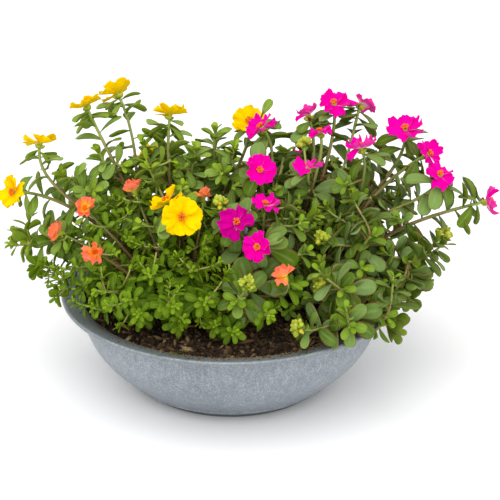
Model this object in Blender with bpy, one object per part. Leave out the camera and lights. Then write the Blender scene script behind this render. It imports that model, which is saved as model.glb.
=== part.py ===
"""A low round planting bowl with three portulacas in bloom: yellow, coral and magenta.

Every length is in millimetres until a mesh is made, which is in metres. The bowl stands on z = 0 with
its centre on the Z axis, and is looked at along +Y from a little above.
"""

import math
import random
from collections import namedtuple

import bpy
import numpy as np
from mathutils.bvhtree import BVHTree

MM = 0.001
GAP = 0.3

# The bowl: a moulded dish with a foot ring, a rounded side and a sloping collar
RIM_RADIUS = 135.0
RIM_HEIGHT = 78.0
COLLAR_INNER_RADIUS = 117.5
COLLAR_DROP = 4.5
LIP_ROLL = 1.0
WALL = 2.0
FOOT_RADIUS = 75.0
FOOT_HEIGHT = 4.0
FOOT_STEP = 2.5
SIDE_POWER = 2.3
SIDE_STEPS = 4
TURNED_SEGMENTS = 30

# The soil: a plug that fills the bowl to just under the collar
SOIL_EDGE_HEIGHT = 70.0
SOIL_CROWN = 3.5
SOIL_RINGS = 3
SOIL_ROUGHNESS = 1.1
HOLE_DEPTH = 9.0
HOLE_SIDES = 5

# Where the eye stands: the sight lines that set out the blooms and tips
PICTURE_MIDDLE = 250.0
PIXELS_PER_MM = 1.265
SIGHT_RANGE = 1400.0
SIGHT_TILT = math.radians(23.5)
SIGHT_AIM = np.array([15.0, 0.0, 109.0])

# The three portulacas: crown on the soil, stem radii, leaf and bloom sizes, and the petals' colour
Plant = namedtuple("Plant", "crown stem_root stem_tip leaf_length leaf_width bloom_radius colour")
PLANTS = {
    "yellow": Plant((-42.0, 22.0), 1.7, 1.15, 25.0, 11.5, 14.0, (0.95, 0.72, 0.02)),
    "coral": Plant((-38.0, -38.0), 1.4, 0.9, 16.0, 7.0, 10.0, (0.93, 0.25, 0.12)),
    "magenta": Plant((44.0, 0.0), 1.8, 1.2, 26.0, 13.5, 14.5, (0.85, 0.01, 0.48)),
}
ROOT_SPREAD = 0.27
COLLAR_ABOVE_SOIL = 3.0
STEM_SIDES = 5
MAIN_STEPS = 5
FORK_STEPS = 3
FORK_SHARE = 0.42
FORK_STAGGER = 0.13
FORK_SLANT = 1.6
DROOP_HEIGHT = 84.0

# Each tip: the picture point that it is seen at, its depth behind the bowl's centre, and for a bloom the
# way it faces and its size
Tip = namedtuple("Tip", "seen_x seen_y depth faces size", defaults=(None, 1.0))
STEMS = (
    ("yellow", Tip(40, 143, 30, (0.1, 0.45, 0.85)), Tip(62, 174, 14)),
    ("yellow", Tip(15, 192, 10, (-0.75, -0.6, 0.25)), Tip(27, 243, 0)),
    ("yellow", Tip(86, 105, 46, (-0.4, 0.45, 0.8), 0.95), Tip(117, 93, 64, (-0.45, 0.4, 0.75), 1.05),
     Tip(98, 152, 30)),
    ("yellow", Tip(170, 114, 50, (0.1, 0.5, 0.85)), Tip(195, 150, 30), Tip(142, 142, 36)),
    ("yellow", Tip(249, 122, 62, (-0.1, -0.55, 0.8)), Tip(216, 130, 44), Tip(228, 172, 26)),
    ("yellow", Tip(182, 217, -66, (0.05, -0.92, 0.4), 1.1), Tip(168, 202, -38, (-0.6, 0.1, 0.8)),
     Tip(150, 168, 0)),
    ("yellow", Tip(150, 158, 122, (-0.3, 0.75, 0.6)), Tip(112, 175, 105), Tip(195, 165, 118),
     Tip(72, 182, 82), Tip(222, 190, 124)),
    ("coral", Tip(60, 233, -12, (-0.75, -0.2, 0.5)), Tip(40, 264, -25)),
    ("coral", Tip(86, 209, -18, (-0.3, -0.6, 0.7), 1.05), Tip(72, 266, -52)),
    ("coral", Tip(95, 252, -66, (0.1, -0.9, 0.4), 1.1), Tip(62, 289, -58)),
    ("coral", Tip(134, 191, -8, (-0.35, 0.1, 0.9)), Tip(112, 226, -30)),
    ("coral", Tip(203, 197, -22, (0.05, 0.2, 0.95), 0.9), Tip(158, 244, -56), Tip(205, 240, -62)),
    ("coral", Tip(96, 291, -88), Tip(128, 300, -98)),
    ("coral", Tip(148, 274, -88), Tip(166, 306, -108)),
    ("coral", Tip(192, 270, -88), Tip(206, 302, -110)),
    ("coral", Tip(285, 277, -96, (-0.4, -0.1, 0.9)), Tip(270, 316, -112)),
    ("magenta", Tip(260, 170, -22, (0.05, -0.88, 0.45), 1.05), Tip(262, 128, 30, (-0.55, -0.1, 0.8), 1.1),
     Tip(284, 152, 24)),
    ("magenta", Tip(236, 223, -72, (0.0, -0.75, 0.65), 1.15), Tip(265, 206, -42, (0.1, 0.1, 0.95))),
    ("magenta", Tip(258, 247, -90, (-0.3, -0.85, 0.35), 1.0), Tip(236, 302, -110)),
    ("magenta", Tip(308, 115, 46, (-0.3, 0.2, 0.9), 0.9), Tip(320, 132, 24, (-0.2, 0.1, 0.95), 0.8),
     Tip(308, 168, -15, (0.0, 0.1, 0.95))),
    ("magenta", Tip(334, 104, 44, (-0.1, -0.35, 0.9)), Tip(361, 104, 64, (0.3, 0.5, 0.75), 1.05),
     Tip(345, 165, 30)),
    ("magenta", Tip(405, 130, 34, (-0.1, -0.3, 0.92), 1.25), Tip(361, 148, 12, (-0.35, 0.25, 0.85), 1.1)),
    ("magenta", Tip(428, 154, 22, (0.65, -0.4, 0.55), 1.0), Tip(440, 175, -4, (0.0, -0.45, 0.85), 1.0),
     Tip(398, 196, 24)),
    ("magenta", Tip(487, 201, 0, (0.93, -0.1, 0.3), 1.0), Tip(412, 262, -24)),
    ("magenta", Tip(388, 318, -74), Tip(372, 236, -40), Tip(342, 290, -88), Tip(350, 328, -106)),
    ("magenta", Tip(300, 160, 122, (0.1, 0.75, 0.6)), Tip(362, 180, 105, (0.5, 0.6, 0.6)),
     Tip(252, 175, 128), Tip(332, 192, 128), Tip(402, 190, 84)),
)

# Leaf outlines: share of the length, share of the half width there, and how deep the keel lies
LEAF_STATIONS = ((0.42, 0.72, 2.0), (0.78, 0.95, 1.5))
SMALL_LEAF_STATIONS = ((0.6, 1.0, 1.8),)
SMALL_LEAF_LENGTH = 17.0
LEAF_ARCH = 0.75
LEAF_ROOT = 0.42
BLADE_START = 2.4
CLEARANCE = 0.35

# Where leaves grow: a whorl under each bloom, a tuft at each leafy tip, and single leaves down the stems
WHORL_LEAVES = 3
WHORL_SPACING = 1.2
WHORL_LIFTS = (-8, 14)
TUFT_LEAVES = 5
TUFT_SPACING = 1.9
TUFT_LIFT = 52
TUFT_OPENING = 9
FIRST_LEAF = 2.5
STEM_LEAVES = 2
STEM_LEAF_SHARE = 0.82
STEM_LEAF_SPACING = 0.2
STEM_LEAF_LIFTS = (18, 42)

# Petal outlines: share of the length, and of it across to each side there
PETALS = 5
PETAL_ROOT = 0.045
PETAL_BODY = (0.58, 0.45)
PETAL_TIP = (1.0, 0.36)
PETAL_NOTCH = 0.9
PETAL_THICKNESS = (0.8, 0.6)
PETAL_KEEL = 1.0
PETAL_END_KEEL = 0.5
PETAL_RISE = math.radians(24)
PETAL_ROLL = math.radians(13)
HUB_PROFILE = ((1.0, -3.6), (2.1, 1.6), (0.0, 3.6))


def unit(vector):
    """The vector at length 1."""
    vector = np.asarray(vector, float)
    return vector / np.linalg.norm(vector)


def on_sight_line(tip):
    """The point that is seen at the tip's picture point and lies at its depth."""
    ahead = np.array([0.0, math.cos(SIGHT_TILT), -math.sin(SIGHT_TILT)])
    upward = np.array([0.0, math.sin(SIGHT_TILT), math.cos(SIGHT_TILT)])
    lens = PIXELS_PER_MM * SIGHT_RANGE
    ray = ahead + upward * (PICTURE_MIDDLE - tip.seen_y) / lens
    ray[0] = (tip.seen_x - PICTURE_MIDDLE) / lens
    eye = SIGHT_AIM - SIGHT_RANGE * ahead
    return eye + ray * (tip.depth - eye[1]) / ray[1]


def soil_height(x, y):
    """A shallow crown over the bowl, with clods as three crossed waves."""
    share = math.hypot(x, y) / COLLAR_INNER_RADIUS
    clods = math.sin(0.21 * x + 0.6) * math.sin(0.19 * y) + 0.6 * math.sin(0.33 * x - 0.27 * y)
    return SOIL_EDGE_HEIGHT + SOIL_CROWN * (1 - share * share) + SOIL_ROUGHNESS * clods * (1 - share)


def side_frame(along, near):
    """Two unit vectors square to a direction, the first as near as can be to the one given."""
    first = near - along * np.dot(near, along)
    if np.linalg.norm(first) < 1e-6:
        first = np.cross(along, (1.0, 0.0, 0.0))
    first = unit(first)
    return first, np.cross(along, first)


class Meshlet:
    """Points and outward faces of one closed shape, in millimetres."""

    def __init__(self):
        self.points = []
        self.faces = []
        self.sides = []

    def ring(self, points):
        """Adds points and returns their numbers."""
        start = len(self.points)
        self.points.extend(np.asarray(p, float) for p in points)
        return list(range(start, len(self.points)))

    def bridge(self, low, high):
        """Joins two rings that run anticlockwise as seen from the second."""
        for i, a in enumerate(low):
            b = low[(i + 1) % len(low)]
            c = high[(i + 1) % len(high)]
            self.faces.append((a, b, c, high[i]))

    def point_cap(self, ring, tip):
        """Joins a ring to one point beyond it."""
        for i, a in enumerate(ring):
            self.faces.append((a, ring[(i + 1) % len(ring)], tip))

    def tree(self):
        """The shape as a search tree."""
        return BVHTree.FromPolygons([tuple(p) for p in self.points], self.faces)


def tube(path, radii, sides, heading=None):
    """A round stem: a regular ring across each point of the path, closed by a flat face at both ends."""
    path = np.asarray(path, float)
    tangents = np.gradient(path, axis=0)
    if heading is not None:
        tangents[-1] = heading
    shape = Meshlet()
    side = np.array([1.0, 0.3, 0.2])
    low = None
    for point, tangent, radius in zip(path, tangents, radii):
        side, across = side_frame(unit(tangent), side)
        shape.sides.append(side)
        turns = [2 * math.pi * k / sides for k in range(sides)]
        ring = shape.ring(point + radius * (side * math.cos(t) + across * math.sin(t)) for t in turns)
        if low is None:
            shape.faces.append(tuple(reversed(ring)))
        else:
            shape.bridge(low, ring)
        low = ring
    shape.faces.append(tuple(low))
    return shape


Leaf = namedtuple("Leaf", "base along upper length width")


def leaf_shape(leaf, grow=0.0):
    """A fleshy blade: three-cornered sections, two edges and a keel, along an arched midrib."""
    shape = Meshlet()
    across = np.cross(leaf.along, leaf.upper)
    low = None

    def midrib(share):
        """Arc of a circle: the direction turns away from the upper side at an even rate."""
        turn = LEAF_ARCH * share
        reach = math.sin(turn) / LEAF_ARCH
        fall = (1 - math.cos(turn)) / LEAF_ARCH
        place = leaf.base + (leaf.length + grow) * (leaf.along * reach - leaf.upper * fall)
        return place, leaf.upper * math.cos(turn) + leaf.along * math.sin(turn)

    small = leaf.length < SMALL_LEAF_LENGTH
    for share, breadth, depth in SMALL_LEAF_STATIONS if small else LEAF_STATIONS:
        place, upper = midrib(share)
        half = leaf.width / 2 * breadth + grow
        edge = upper * (0.4 * depth + grow)
        keel = place - upper * (0.6 * depth + grow)
        ring = shape.ring((place - across * half + edge, place + across * half + edge, keel))
        if low is None:
            shape.point_cap(ring[::-1], shape.ring([leaf.base - leaf.along * grow])[0])
        else:
            shape.bridge(low, ring)
        low = ring
    shape.point_cap(low, shape.ring([midrib(1.0)[0]])[0])
    return shape


def petal_shape(centre, facing, turn, radius):
    """A broad blade with a notched end, raised and rolled to lie over its neighbour."""
    first, second = side_frame(facing, np.array([0.3, 0.2, 1.0]))
    outward = first * math.cos(turn) + second * math.sin(turn)
    along = unit(outward * math.cos(PETAL_RISE) + facing * math.sin(PETAL_RISE))
    level = unit(np.cross(along, facing))
    raised = np.cross(level, along)
    across = level * math.cos(PETAL_ROLL) + raised * math.sin(PETAL_ROLL)
    upper = np.cross(across, along)
    shape = Meshlet()

    def at(share, side, lift):
        """A point of the petal: share of its length, side in lengths, lift in millimetres."""
        return centre + radius * (along * share + across * side) + upper * lift

    share, half = PETAL_BODY
    lift, end_lift = PETAL_THICKNESS
    mid = shape.ring((at(share, -half, lift), at(share, half, lift), at(share, 0, -PETAL_KEEL)))
    shape.point_cap(mid[::-1], shape.ring([at(PETAL_ROOT, 0, 0.1)])[0])
    share, half = PETAL_TIP
    left, right = shape.ring((at(share, -half, end_lift), at(share, half, end_lift)))
    notch, keel = shape.ring((at(PETAL_NOTCH, 0, 0.4), at(PETAL_NOTCH - 0.02, 0, -PETAL_END_KEEL)))
    shape.faces += [(mid[0], mid[1], notch), (mid[0], notch, left), (mid[1], right, notch)]
    shape.faces += [(mid[1], mid[2], keel, right), (mid[2], mid[0], left, keel)]
    shape.faces += [(left, notch, keel), (notch, right, keel)]
    return shape


def hub_shape(centre, facing, start):
    """The seat of the petals with the boss of stamens on it: one flat side for each petal."""
    first, second = side_frame(facing, np.array([0.3, 0.2, 1.0]))
    shape = Meshlet()
    low = None
    for radius, height in HUB_PROFILE[:-1]:
        turns = [start + 2 * math.pi * (k + 0.5) / PETALS for k in range(PETALS)]
        ring = shape.ring(
            centre + facing * height + radius * (first * math.cos(t) + second * math.sin(t)) for t in turns
        )
        if low is None:
            shape.faces.append(tuple(reversed(ring)))
        else:
            shape.bridge(low, ring)
        low = ring
    shape.point_cap(low, shape.ring([centre + facing * HUB_PROFILE[-1][1]])[0])
    return shape


class Space:
    """What stands in the bowl so far, to keep each new piece clear of other nodes."""

    def __init__(self):
        self.owners = []
        self.lows = []
        self.highs = []
        self.trees = []

    def add(self, owner, shape):
        """Puts a piece of a node in its place."""
        points = np.array(shape.points)
        self.owners.append(owner)
        self.lows.append(points.min(0))
        self.highs.append(points.max(0))
        self.trees.append(shape.tree())

    def meets(self, owner, shape, own=False):
        """Whether the shape crosses a piece of another node, or with own set one of its own node."""
        if not self.owners:
            return False
        points = np.array(shape.points)
        starts_before = np.all(np.array(self.lows) <= points.max(0), axis=1)
        ends_after = np.all(np.array(self.highs) >= points.min(0), axis=1)
        tree = None
        for k in np.flatnonzero(starts_before & ends_after):
            if (self.owners[k] == owner) != own:
                continue
            tree = tree or shape.tree()
            if tree.overlap(self.trees[k]):
                return True
        return False


def curve_between(start, start_pull, end, end_pull, steps):
    """A cubic Bezier curve, as its points at even parameter steps."""
    t = np.linspace(0, 1, steps + 1)[:, None]
    return (
        (1 - t) ** 3 * start
        + 3 * (1 - t) ** 2 * t * (start + start_pull)
        + 3 * (1 - t) * t * t * (end + end_pull)
        + t**3 * end
    )


def stem_end(tip, plant):
    """Where the stem stops and the way it points there: just under a bloom's hub, or at a leafy tip."""
    place = on_sight_line(tip)
    if tip.faces is None:
        return place, unit(place - np.array([*plant.crown, DROOP_HEIGHT]))
    facing = unit(tip.faces)
    return place + facing * (HUB_PROFILE[0][1] - GAP), facing


def main_path(tip, plant):
    """The main stem: straight up out of its hole in the soil, then over to its tip."""
    end, heading = stem_end(tip, plant)
    crown = np.array(plant.crown)
    foot = crown + ROOT_SPREAD * (end[:2] - crown)
    soil = soil_height(*foot)
    collar = np.array([*foot, soil + COLLAR_ABOVE_SOIL])
    reach = np.linalg.norm(end - collar)
    lean = np.array([*(end[:2] - foot) * 0.12, 0.36 * reach])
    curve = curve_between(collar, lean, end, -heading * 0.3 * reach, MAIN_STEPS)
    return np.vstack([(*foot, soil - HOLE_DEPTH + GAP), curve])


def fork_path(tip, plant, main, number):
    """A fork: it leaves the main stem's side at a slant and turns up to its own tip."""
    end, heading = stem_end(tip, plant)
    place = 1 + (FORK_SHARE + FORK_STAGGER * number) * MAIN_STEPS
    low = int(place)
    start = main[low] + (main[low + 1] - main[low]) * (place - low)
    tangent = unit(main[low + 1] - main[low])
    reach = np.linalg.norm(end - start)
    sideways = side_frame(tangent, end - start)[0]
    leaving = unit(tangent + FORK_SLANT * sideways)
    return curve_between(start, leaving * 0.3 * reach, end, -heading * 0.25 * reach, FORK_STEPS)


def bloom_shapes(name, tip, plant):
    """The hub and the petals of a bloom."""
    rng = random.Random(name)
    centre, facing = on_sight_line(tip), unit(tip.faces)
    start = rng.uniform(0, 2 * math.pi)
    shapes = [hub_shape(centre, facing, start)]
    for k in range(PETALS):
        turn = start + 2 * math.pi * k / PETALS
        shapes.append(petal_shape(centre, facing, turn, plant.bloom_radius * tip.size))
    return shapes


def grow_run(name, plant, tip, runs):
    """The stem to one tip, with the bloom on it if it has one: path, radii, tube and the bloom's shapes."""
    path = fork_path(tip, plant, runs[0][0], len(runs) - 1) if runs else main_path(tip, plant)
    radii = np.linspace(plant.stem_tip if runs else plant.stem_root, plant.stem_tip, len(path))
    stem = tube(path, radii, STEM_SIDES, stem_end(tip, plant)[1])
    return path, radii, stem, bloom_shapes(name, tip, plant) if tip.faces else None


def leaf_pose(run, share, facet, more_turn, lift, length, width):
    """A leaf seated in one facet of a stem, turned about the stem and lifted towards its tip."""
    path, radii, shape, _ = run
    place = share * (len(path) - 1)
    low = min(int(place), len(path) - 2)
    part = place - low
    tangent = unit(path[low + 1] - path[low])
    first, second = side_frame(tangent, shape.sides[low] * (1 - part) + shape.sides[low + 1] * part)
    seat = 2 * math.pi * (facet + 0.5) / STEM_SIDES
    inner = (radii[low] * (1 - part) + radii[low + 1] * part) * LEAF_ROOT
    seat_way = first * math.cos(seat) + second * math.sin(seat)
    base = path[low] * (1 - part) + path[low + 1] * part - inner * seat_way
    turn = seat + more_turn
    outward = first * math.cos(turn) + second * math.sin(turn)
    along = unit(outward * math.cos(lift) + tangent * math.sin(lift))
    upper = unit(tangent - along * np.dot(tangent, along))
    return Leaf(base, along, upper, length, width)


# How a leaf is bent clear of its neighbours: turn and lift added, and share of its length kept
BENDS = [(math.radians(t), math.radians(r), k) for k in (1.0, 0.85, 0.72)
         for r in (0, -18, 18, -36) for t in (0, 16, -16, 32, -32)]


def grow_leaf(space, owner, run, share, facet, lift, size, plant, blades, forks):
    """The first bend of a leaf that is clear of all the others, or None."""
    for more_turn, more_lift, kept in BENDS:
        length = plant.leaf_length * size * kept
        width = plant.leaf_width * size * kept
        leaf = leaf_pose(run, share, facet, more_turn, lift + more_lift, length, width)
        if space.meets(owner, leaf_shape(leaf, CLEARANCE)):
            continue
        blade_base = leaf.base + leaf.along * BLADE_START
        blade = leaf_shape(leaf._replace(base=blade_base, length=length - BLADE_START))
        if blades.meets(owner, blade, own=True) or any(blade.tree().overlap(fork) for fork in forks):
            continue
        blades.add(owner, blade)
        return leaf
    return None


def leaf_plan(runs, plant, rng):
    """Run, share, facet, lift and size of each leaf: the whorl or tuft at each tip, then the stem's own."""
    plan = []
    for run in runs:
        path, _, _, bloom = run
        length = np.linalg.norm(np.diff(path, axis=0), axis=1).sum()
        first = rng.randrange(STEM_SIDES)
        spacing = WHORL_SPACING if bloom else TUFT_SPACING
        for k in range(WHORL_LEAVES if bloom else TUFT_LEAVES):
            share = 1 - (FIRST_LEAF + spacing * k) / length
            if bloom:
                lift = rng.uniform(*WHORL_LIFTS)
                size = rng.uniform(0.78, 1.0)
            else:
                lift = TUFT_LIFT - TUFT_OPENING * k + rng.uniform(-6, 6)
                size = 0.55 + 0.45 * k / TUFT_LEAVES + rng.uniform(-0.05, 0.05)
            plan.append((run, share, first + 2 * k, math.radians(lift), size))
        for k in range(STEM_LEAVES if run is runs[0] else 1):
            share = STEM_LEAF_SHARE - STEM_LEAF_SPACING * k + rng.uniform(-0.07, 0.07)
            lift = math.radians(rng.uniform(*STEM_LEAF_LIFTS))
            plan.append((run, share, rng.randrange(STEM_SIDES), lift, rng.uniform(0.85, 1.08)))
    return plan


def make_object(name, shape, material):
    """One mesh object from a shape."""
    mesh = bpy.data.meshes.new(name)
    mesh.from_pydata([tuple(p * MM) for p in shape.points], [], [tuple(f) for f in shape.faces])
    mesh.materials.append(material)
    obj = bpy.data.objects.new(name, mesh)
    bpy.context.scene.collection.objects.link(obj)
    return obj


def join_union(name, shapes, material):
    """One solid from overlapping shapes: a union of the first with a collection of the others."""
    body = make_object(name, shapes[0], material)
    others = bpy.data.collections.new(name + "_joined")
    bpy.context.scene.collection.children.link(others)
    for k, shape in enumerate(shapes[1:]):
        piece = make_object(f"{name}_{k}", shape, material)
        bpy.context.scene.collection.objects.unlink(piece)
        others.objects.link(piece)
    union = body.modifiers.new("Union", "BOOLEAN")
    union.operation = "UNION"
    union.operand_type = "COLLECTION"
    union.collection = others
    union.solver = "MANIFOLD"
    with bpy.context.temp_override(object=body, active_object=body):
        bpy.ops.object.modifier_apply(modifier=union.name)
    for piece in list(others.objects):
        bpy.data.objects.remove(piece)
    bpy.data.collections.remove(others)
    body.data.shade_flat()
    return body


def finish_material(name, colour, roughness, metallic=0.0):
    """A Principled material of one colour."""
    material = bpy.data.materials.new(name)
    material.use_nodes = True
    shader = material.node_tree.nodes["Principled BSDF"]
    shader.inputs["Base Color"].default_value = (*colour, 1.0)
    shader.inputs["Roughness"].default_value = roughness
    shader.inputs["Metallic"].default_value = metallic
    return material


def side_radius(height):
    """The bowl's outer radius at a height: a power curve from the foot out to the collar."""
    depth = 1 - (height - FOOT_HEIGHT) / (RIM_HEIGHT - COLLAR_DROP - WALL - FOOT_HEIGHT)
    foot = FOOT_RADIUS + FOOT_STEP
    return foot + (COLLAR_INNER_RADIUS + WALL - foot) * (1 - max(0.0, depth) ** SIDE_POWER)


def turned(profile, segments):
    """A closed solid turned about the Z axis, from a profile that starts and ends on the axis."""
    shape = Meshlet()
    turns = [2 * math.pi * k / segments for k in range(segments)]
    first = shape.ring([(0.0, 0.0, profile[0][1])])[0]
    low = None
    for radius, height in profile[1:-1]:
        ring = shape.ring((radius * math.cos(t), radius * math.sin(t), height) for t in turns)
        if low is None:
            shape.point_cap(list(reversed(ring)), first)
        else:
            shape.bridge(low, ring)
        low = ring
    shape.point_cap(low, shape.ring([(0.0, 0.0, profile[-1][1])])[0])
    return shape


def side_profile(inset):
    """The side's heights from foot to collar, with its radius there, moved in and up by an inset."""
    top = RIM_HEIGHT - COLLAR_DROP - WALL
    heights = [FOOT_HEIGHT + (top - FOOT_HEIGHT) * (k / SIDE_STEPS) for k in range(SIDE_STEPS + 1)]
    return [(side_radius(height) - inset, height + inset) for height in heights]


def bowl_shape():
    """The bowl: foot, side, collar with a rolled lip, and the inside a wall's thickness in."""
    lip = [
        (RIM_RADIUS - LIP_ROLL, RIM_HEIGHT - WALL - 0.6),
        (RIM_RADIUS, RIM_HEIGHT - WALL + 0.4),
        (RIM_RADIUS, RIM_HEIGHT - 0.5),
        (RIM_RADIUS - 1.2 * LIP_ROLL, RIM_HEIGHT),
        (COLLAR_INNER_RADIUS, RIM_HEIGHT - COLLAR_DROP),
    ]
    profile = [(0.0, 0.0), (FOOT_RADIUS - 1.0, 0.0), (FOOT_RADIUS, 1.0), (FOOT_RADIUS, FOOT_HEIGHT - 0.6)]
    profile += side_profile(0.0) + lip + side_profile(WALL)[-2::-1] + [(0.0, FOOT_HEIGHT + WALL)]
    return turned(profile, TURNED_SEGMENTS)


def soil_shape():
    """The soil: a plug a small gap inside the bowl, with clods on top."""
    *profile, (top_radius, top_height) = side_profile(WALL + GAP)
    last_radius, last_height = profile[-1]
    bottom = [(0.0, profile[0][1])]
    shape = turned(bottom + profile + [(0.0, SOIL_EDGE_HEIGHT)], TURNED_SEGMENTS)
    shape.points.pop()
    shape.faces = shape.faces[:-TURNED_SEGMENTS]
    low = list(range(len(shape.points) - TURNED_SEGMENTS, len(shape.points)))
    share = (SOIL_EDGE_HEIGHT - last_height) / (top_height - last_height)
    edge = last_radius + (top_radius - last_radius) * share
    turns = [2 * math.pi * k / TURNED_SEGMENTS for k in range(TURNED_SEGMENTS)]
    for k in range(SOIL_RINGS, 0, -1):
        radius = edge * k / SOIL_RINGS
        spots = [(radius * math.cos(t), radius * math.sin(t)) for t in turns]
        ring = shape.ring((x, y, soil_height(x, y)) for x, y in spots)
        shape.bridge(low, ring)
        low = ring
    shape.point_cap(low, shape.ring([(0.0, 0.0, soil_height(0, 0))])[0])
    return shape


def make_soil(shape, feet):
    """The soil with a plain hole for each stem."""
    soil = make_object("soil", shape, finish_material("potting soil", (0.05, 0.035, 0.02), 0.95))
    cutters = bpy.data.collections.new("stem_holes")
    bpy.context.scene.collection.children.link(cutters)
    for number, (foot, radius) in enumerate(feet):
        run = [foot - (0, 0, GAP), foot + (0, 0, HOLE_DEPTH + 12.0)]
        hole = tube(run, [radius + GAP + 0.15] * 2, HOLE_SIDES)
        cutter = make_object(f"hole_{number}", hole, soil.data.materials[0])
        bpy.context.scene.collection.objects.unlink(cutter)
        cutters.objects.link(cutter)
    cut = soil.modifiers.new("Holes", "BOOLEAN")
    cut.operation = "DIFFERENCE"
    cut.operand_type = "COLLECTION"
    cut.collection = cutters
    cut.solver = "MANIFOLD"
    with bpy.context.temp_override(object=soil, active_object=soil):
        bpy.ops.object.modifier_apply(modifier=cut.name)
    for cutter in list(cutters.objects):
        bpy.data.objects.remove(cutter)
    bpy.data.collections.remove(cutters)


def grow(bowl, soil):
    """Stems with their blooms, then leaves, each leaf kept clear of all that was there before it."""
    space = Space()
    space.add("bowl", bowl)
    plants = []
    blooms = []
    for number, (kind, *tips) in enumerate(STEMS):
        owner = f"{kind}_stem_{number + 1:02d}"
        runs = []
        for tip in tips:
            name = f"{kind}_bloom_{len(blooms) + 1:02d}"
            runs.append(grow_run(name, PLANTS[kind], tip, runs))
            space.add(owner, runs[-1][2])
            if tip.faces:
                blooms.append((name, kind, runs[-1][3]))
                for shape in runs[-1][3]:
                    space.add(name, shape)
        plants.append((owner, kind, runs))
    space.add("soil", soil)
    blades = Space()
    stems = []
    for owner, kind, runs in plants:
        plant = PLANTS[kind]
        rng = random.Random(owner)
        shapes = [run[2] for run in runs]
        for run, share, facet, lift, size in leaf_plan(runs, plant, rng):
            forks = [other[2].tree() for other in runs if other is not run]
            leaf = grow_leaf(space, owner, run, share, facet, lift, size, plant, blades, forks)
            if leaf:
                shapes.append(leaf_shape(leaf))
                space.add(owner, shapes[-1])
        stems.append((owner, shapes, runs[0][0][0], plant.stem_root))
    return stems, blooms


def main():
    """Clears the scene and builds every node."""
    for obj in list(bpy.data.objects):
        bpy.data.objects.remove(obj)
    bowl = bowl_shape()
    soil = soil_shape()
    stems, blooms = grow(bowl, soil)
    zinc = make_object("bowl", bowl, finish_material("zinc grey", (0.33, 0.38, 0.43), 0.5))
    zinc.data.set_sharp_from_angle(angle=math.radians(35))
    make_soil(soil, [(foot, radius) for _, _, foot, radius in stems])
    green = finish_material("leaf green", (0.12, 0.28, 0.05), 0.5)
    for name, shapes, _, _ in stems:
        join_union(name, shapes, green)
    petals = {kind: finish_material(f"{kind} petal", plant.colour, 0.5) for kind, plant in PLANTS.items()}
    for name, kind, shapes in blooms:
        join_union(name, shapes, petals[kind])


main()
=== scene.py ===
"""A low zinc-look bowl planted with yellow, coral and magenta portulacas.

Lengths are worked out in millimetres, as on a gardener's rule, and become metres in each mesh. The bowl
stands on z = 0 about the Z axis, and the camera looks along +Y from a little above.
"""

import math
import random
from collections import namedtuple

import bpy
import numpy as np
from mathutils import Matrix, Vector


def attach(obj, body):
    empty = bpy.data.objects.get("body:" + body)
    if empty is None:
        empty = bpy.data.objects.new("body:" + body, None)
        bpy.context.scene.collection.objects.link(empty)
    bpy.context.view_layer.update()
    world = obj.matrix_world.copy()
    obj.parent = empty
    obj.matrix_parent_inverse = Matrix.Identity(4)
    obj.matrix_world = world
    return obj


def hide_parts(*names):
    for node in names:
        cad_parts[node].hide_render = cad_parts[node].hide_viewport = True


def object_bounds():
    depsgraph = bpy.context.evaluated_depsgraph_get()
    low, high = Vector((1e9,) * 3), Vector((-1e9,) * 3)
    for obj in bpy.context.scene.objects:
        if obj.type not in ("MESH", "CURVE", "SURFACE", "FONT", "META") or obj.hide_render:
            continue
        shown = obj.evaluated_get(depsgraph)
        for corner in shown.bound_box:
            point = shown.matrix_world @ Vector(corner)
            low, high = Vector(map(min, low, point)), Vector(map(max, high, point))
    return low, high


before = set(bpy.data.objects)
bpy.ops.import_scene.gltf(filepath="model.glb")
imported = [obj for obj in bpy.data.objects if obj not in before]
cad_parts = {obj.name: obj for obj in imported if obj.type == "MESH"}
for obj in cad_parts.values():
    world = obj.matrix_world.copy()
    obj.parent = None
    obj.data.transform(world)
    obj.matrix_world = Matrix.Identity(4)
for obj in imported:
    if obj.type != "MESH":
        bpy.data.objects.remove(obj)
cad_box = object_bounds()

# The bowl. A moulded plastic dish with a zinc look: a foot ring, a rounded side and a wide sloping collar
# with a thin rolled lip. It is one moulding, mottled all over and faintly brushed from lip to foot.
MM = 0.001
RIM_RADIUS = 135.0
RIM_HEIGHT = 78.0
COLLAR_INNER_RADIUS = 117.5
COLLAR_DROP = 4.5
WALL = 2.0
FOOT_RADIUS = 75.0
FOOT_HEIGHT = 4.0
FOOT_STEP = 2.5
SIDE_POWER = 2.3
FOOT_ROLL = 1.4
FOOT_ROLL_TOP = 10.5
FOOT_ROLL_FADES = (1.2, 2.0)
FOOT_EDGE = 1.2
FOOT_RING = 5.0
STEP_HOLLOW = 1.1
LIP_ROLL = 1.6
LIP_DROP = 1.7
LIP_WIDTH = 4.0
COLLAR_EDGE = ((1.5, 0.4), (0.3, -0.3))
AXIS_RADIUS = 0.5
FOOT_ROWS = 12
SIDE_ROWS = 24
LIP_POINTS = 12
BOWL_TURNS = 144
SEAT_GAP = 0.3


class Wire:
    """A shader value: arithmetic on it adds Math nodes to its finish."""

    def __init__(self, finish, socket):
        self.finish = finish
        self.socket = socket

    def math(self, operation, first, second):
        return self.finish.node("ShaderNodeMath", {"operation": operation}, {0: first, 1: second})

    def __add__(self, other):
        return self.math("ADD", self, other)

    def __sub__(self, other):
        return self.math("SUBTRACT", self, other)

    def __rsub__(self, other):
        return self.math("SUBTRACT", other, self)

    def __mul__(self, other):
        return self.math("MULTIPLY", self, other)

    __radd__ = __add__
    __rmul__ = __mul__


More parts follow.
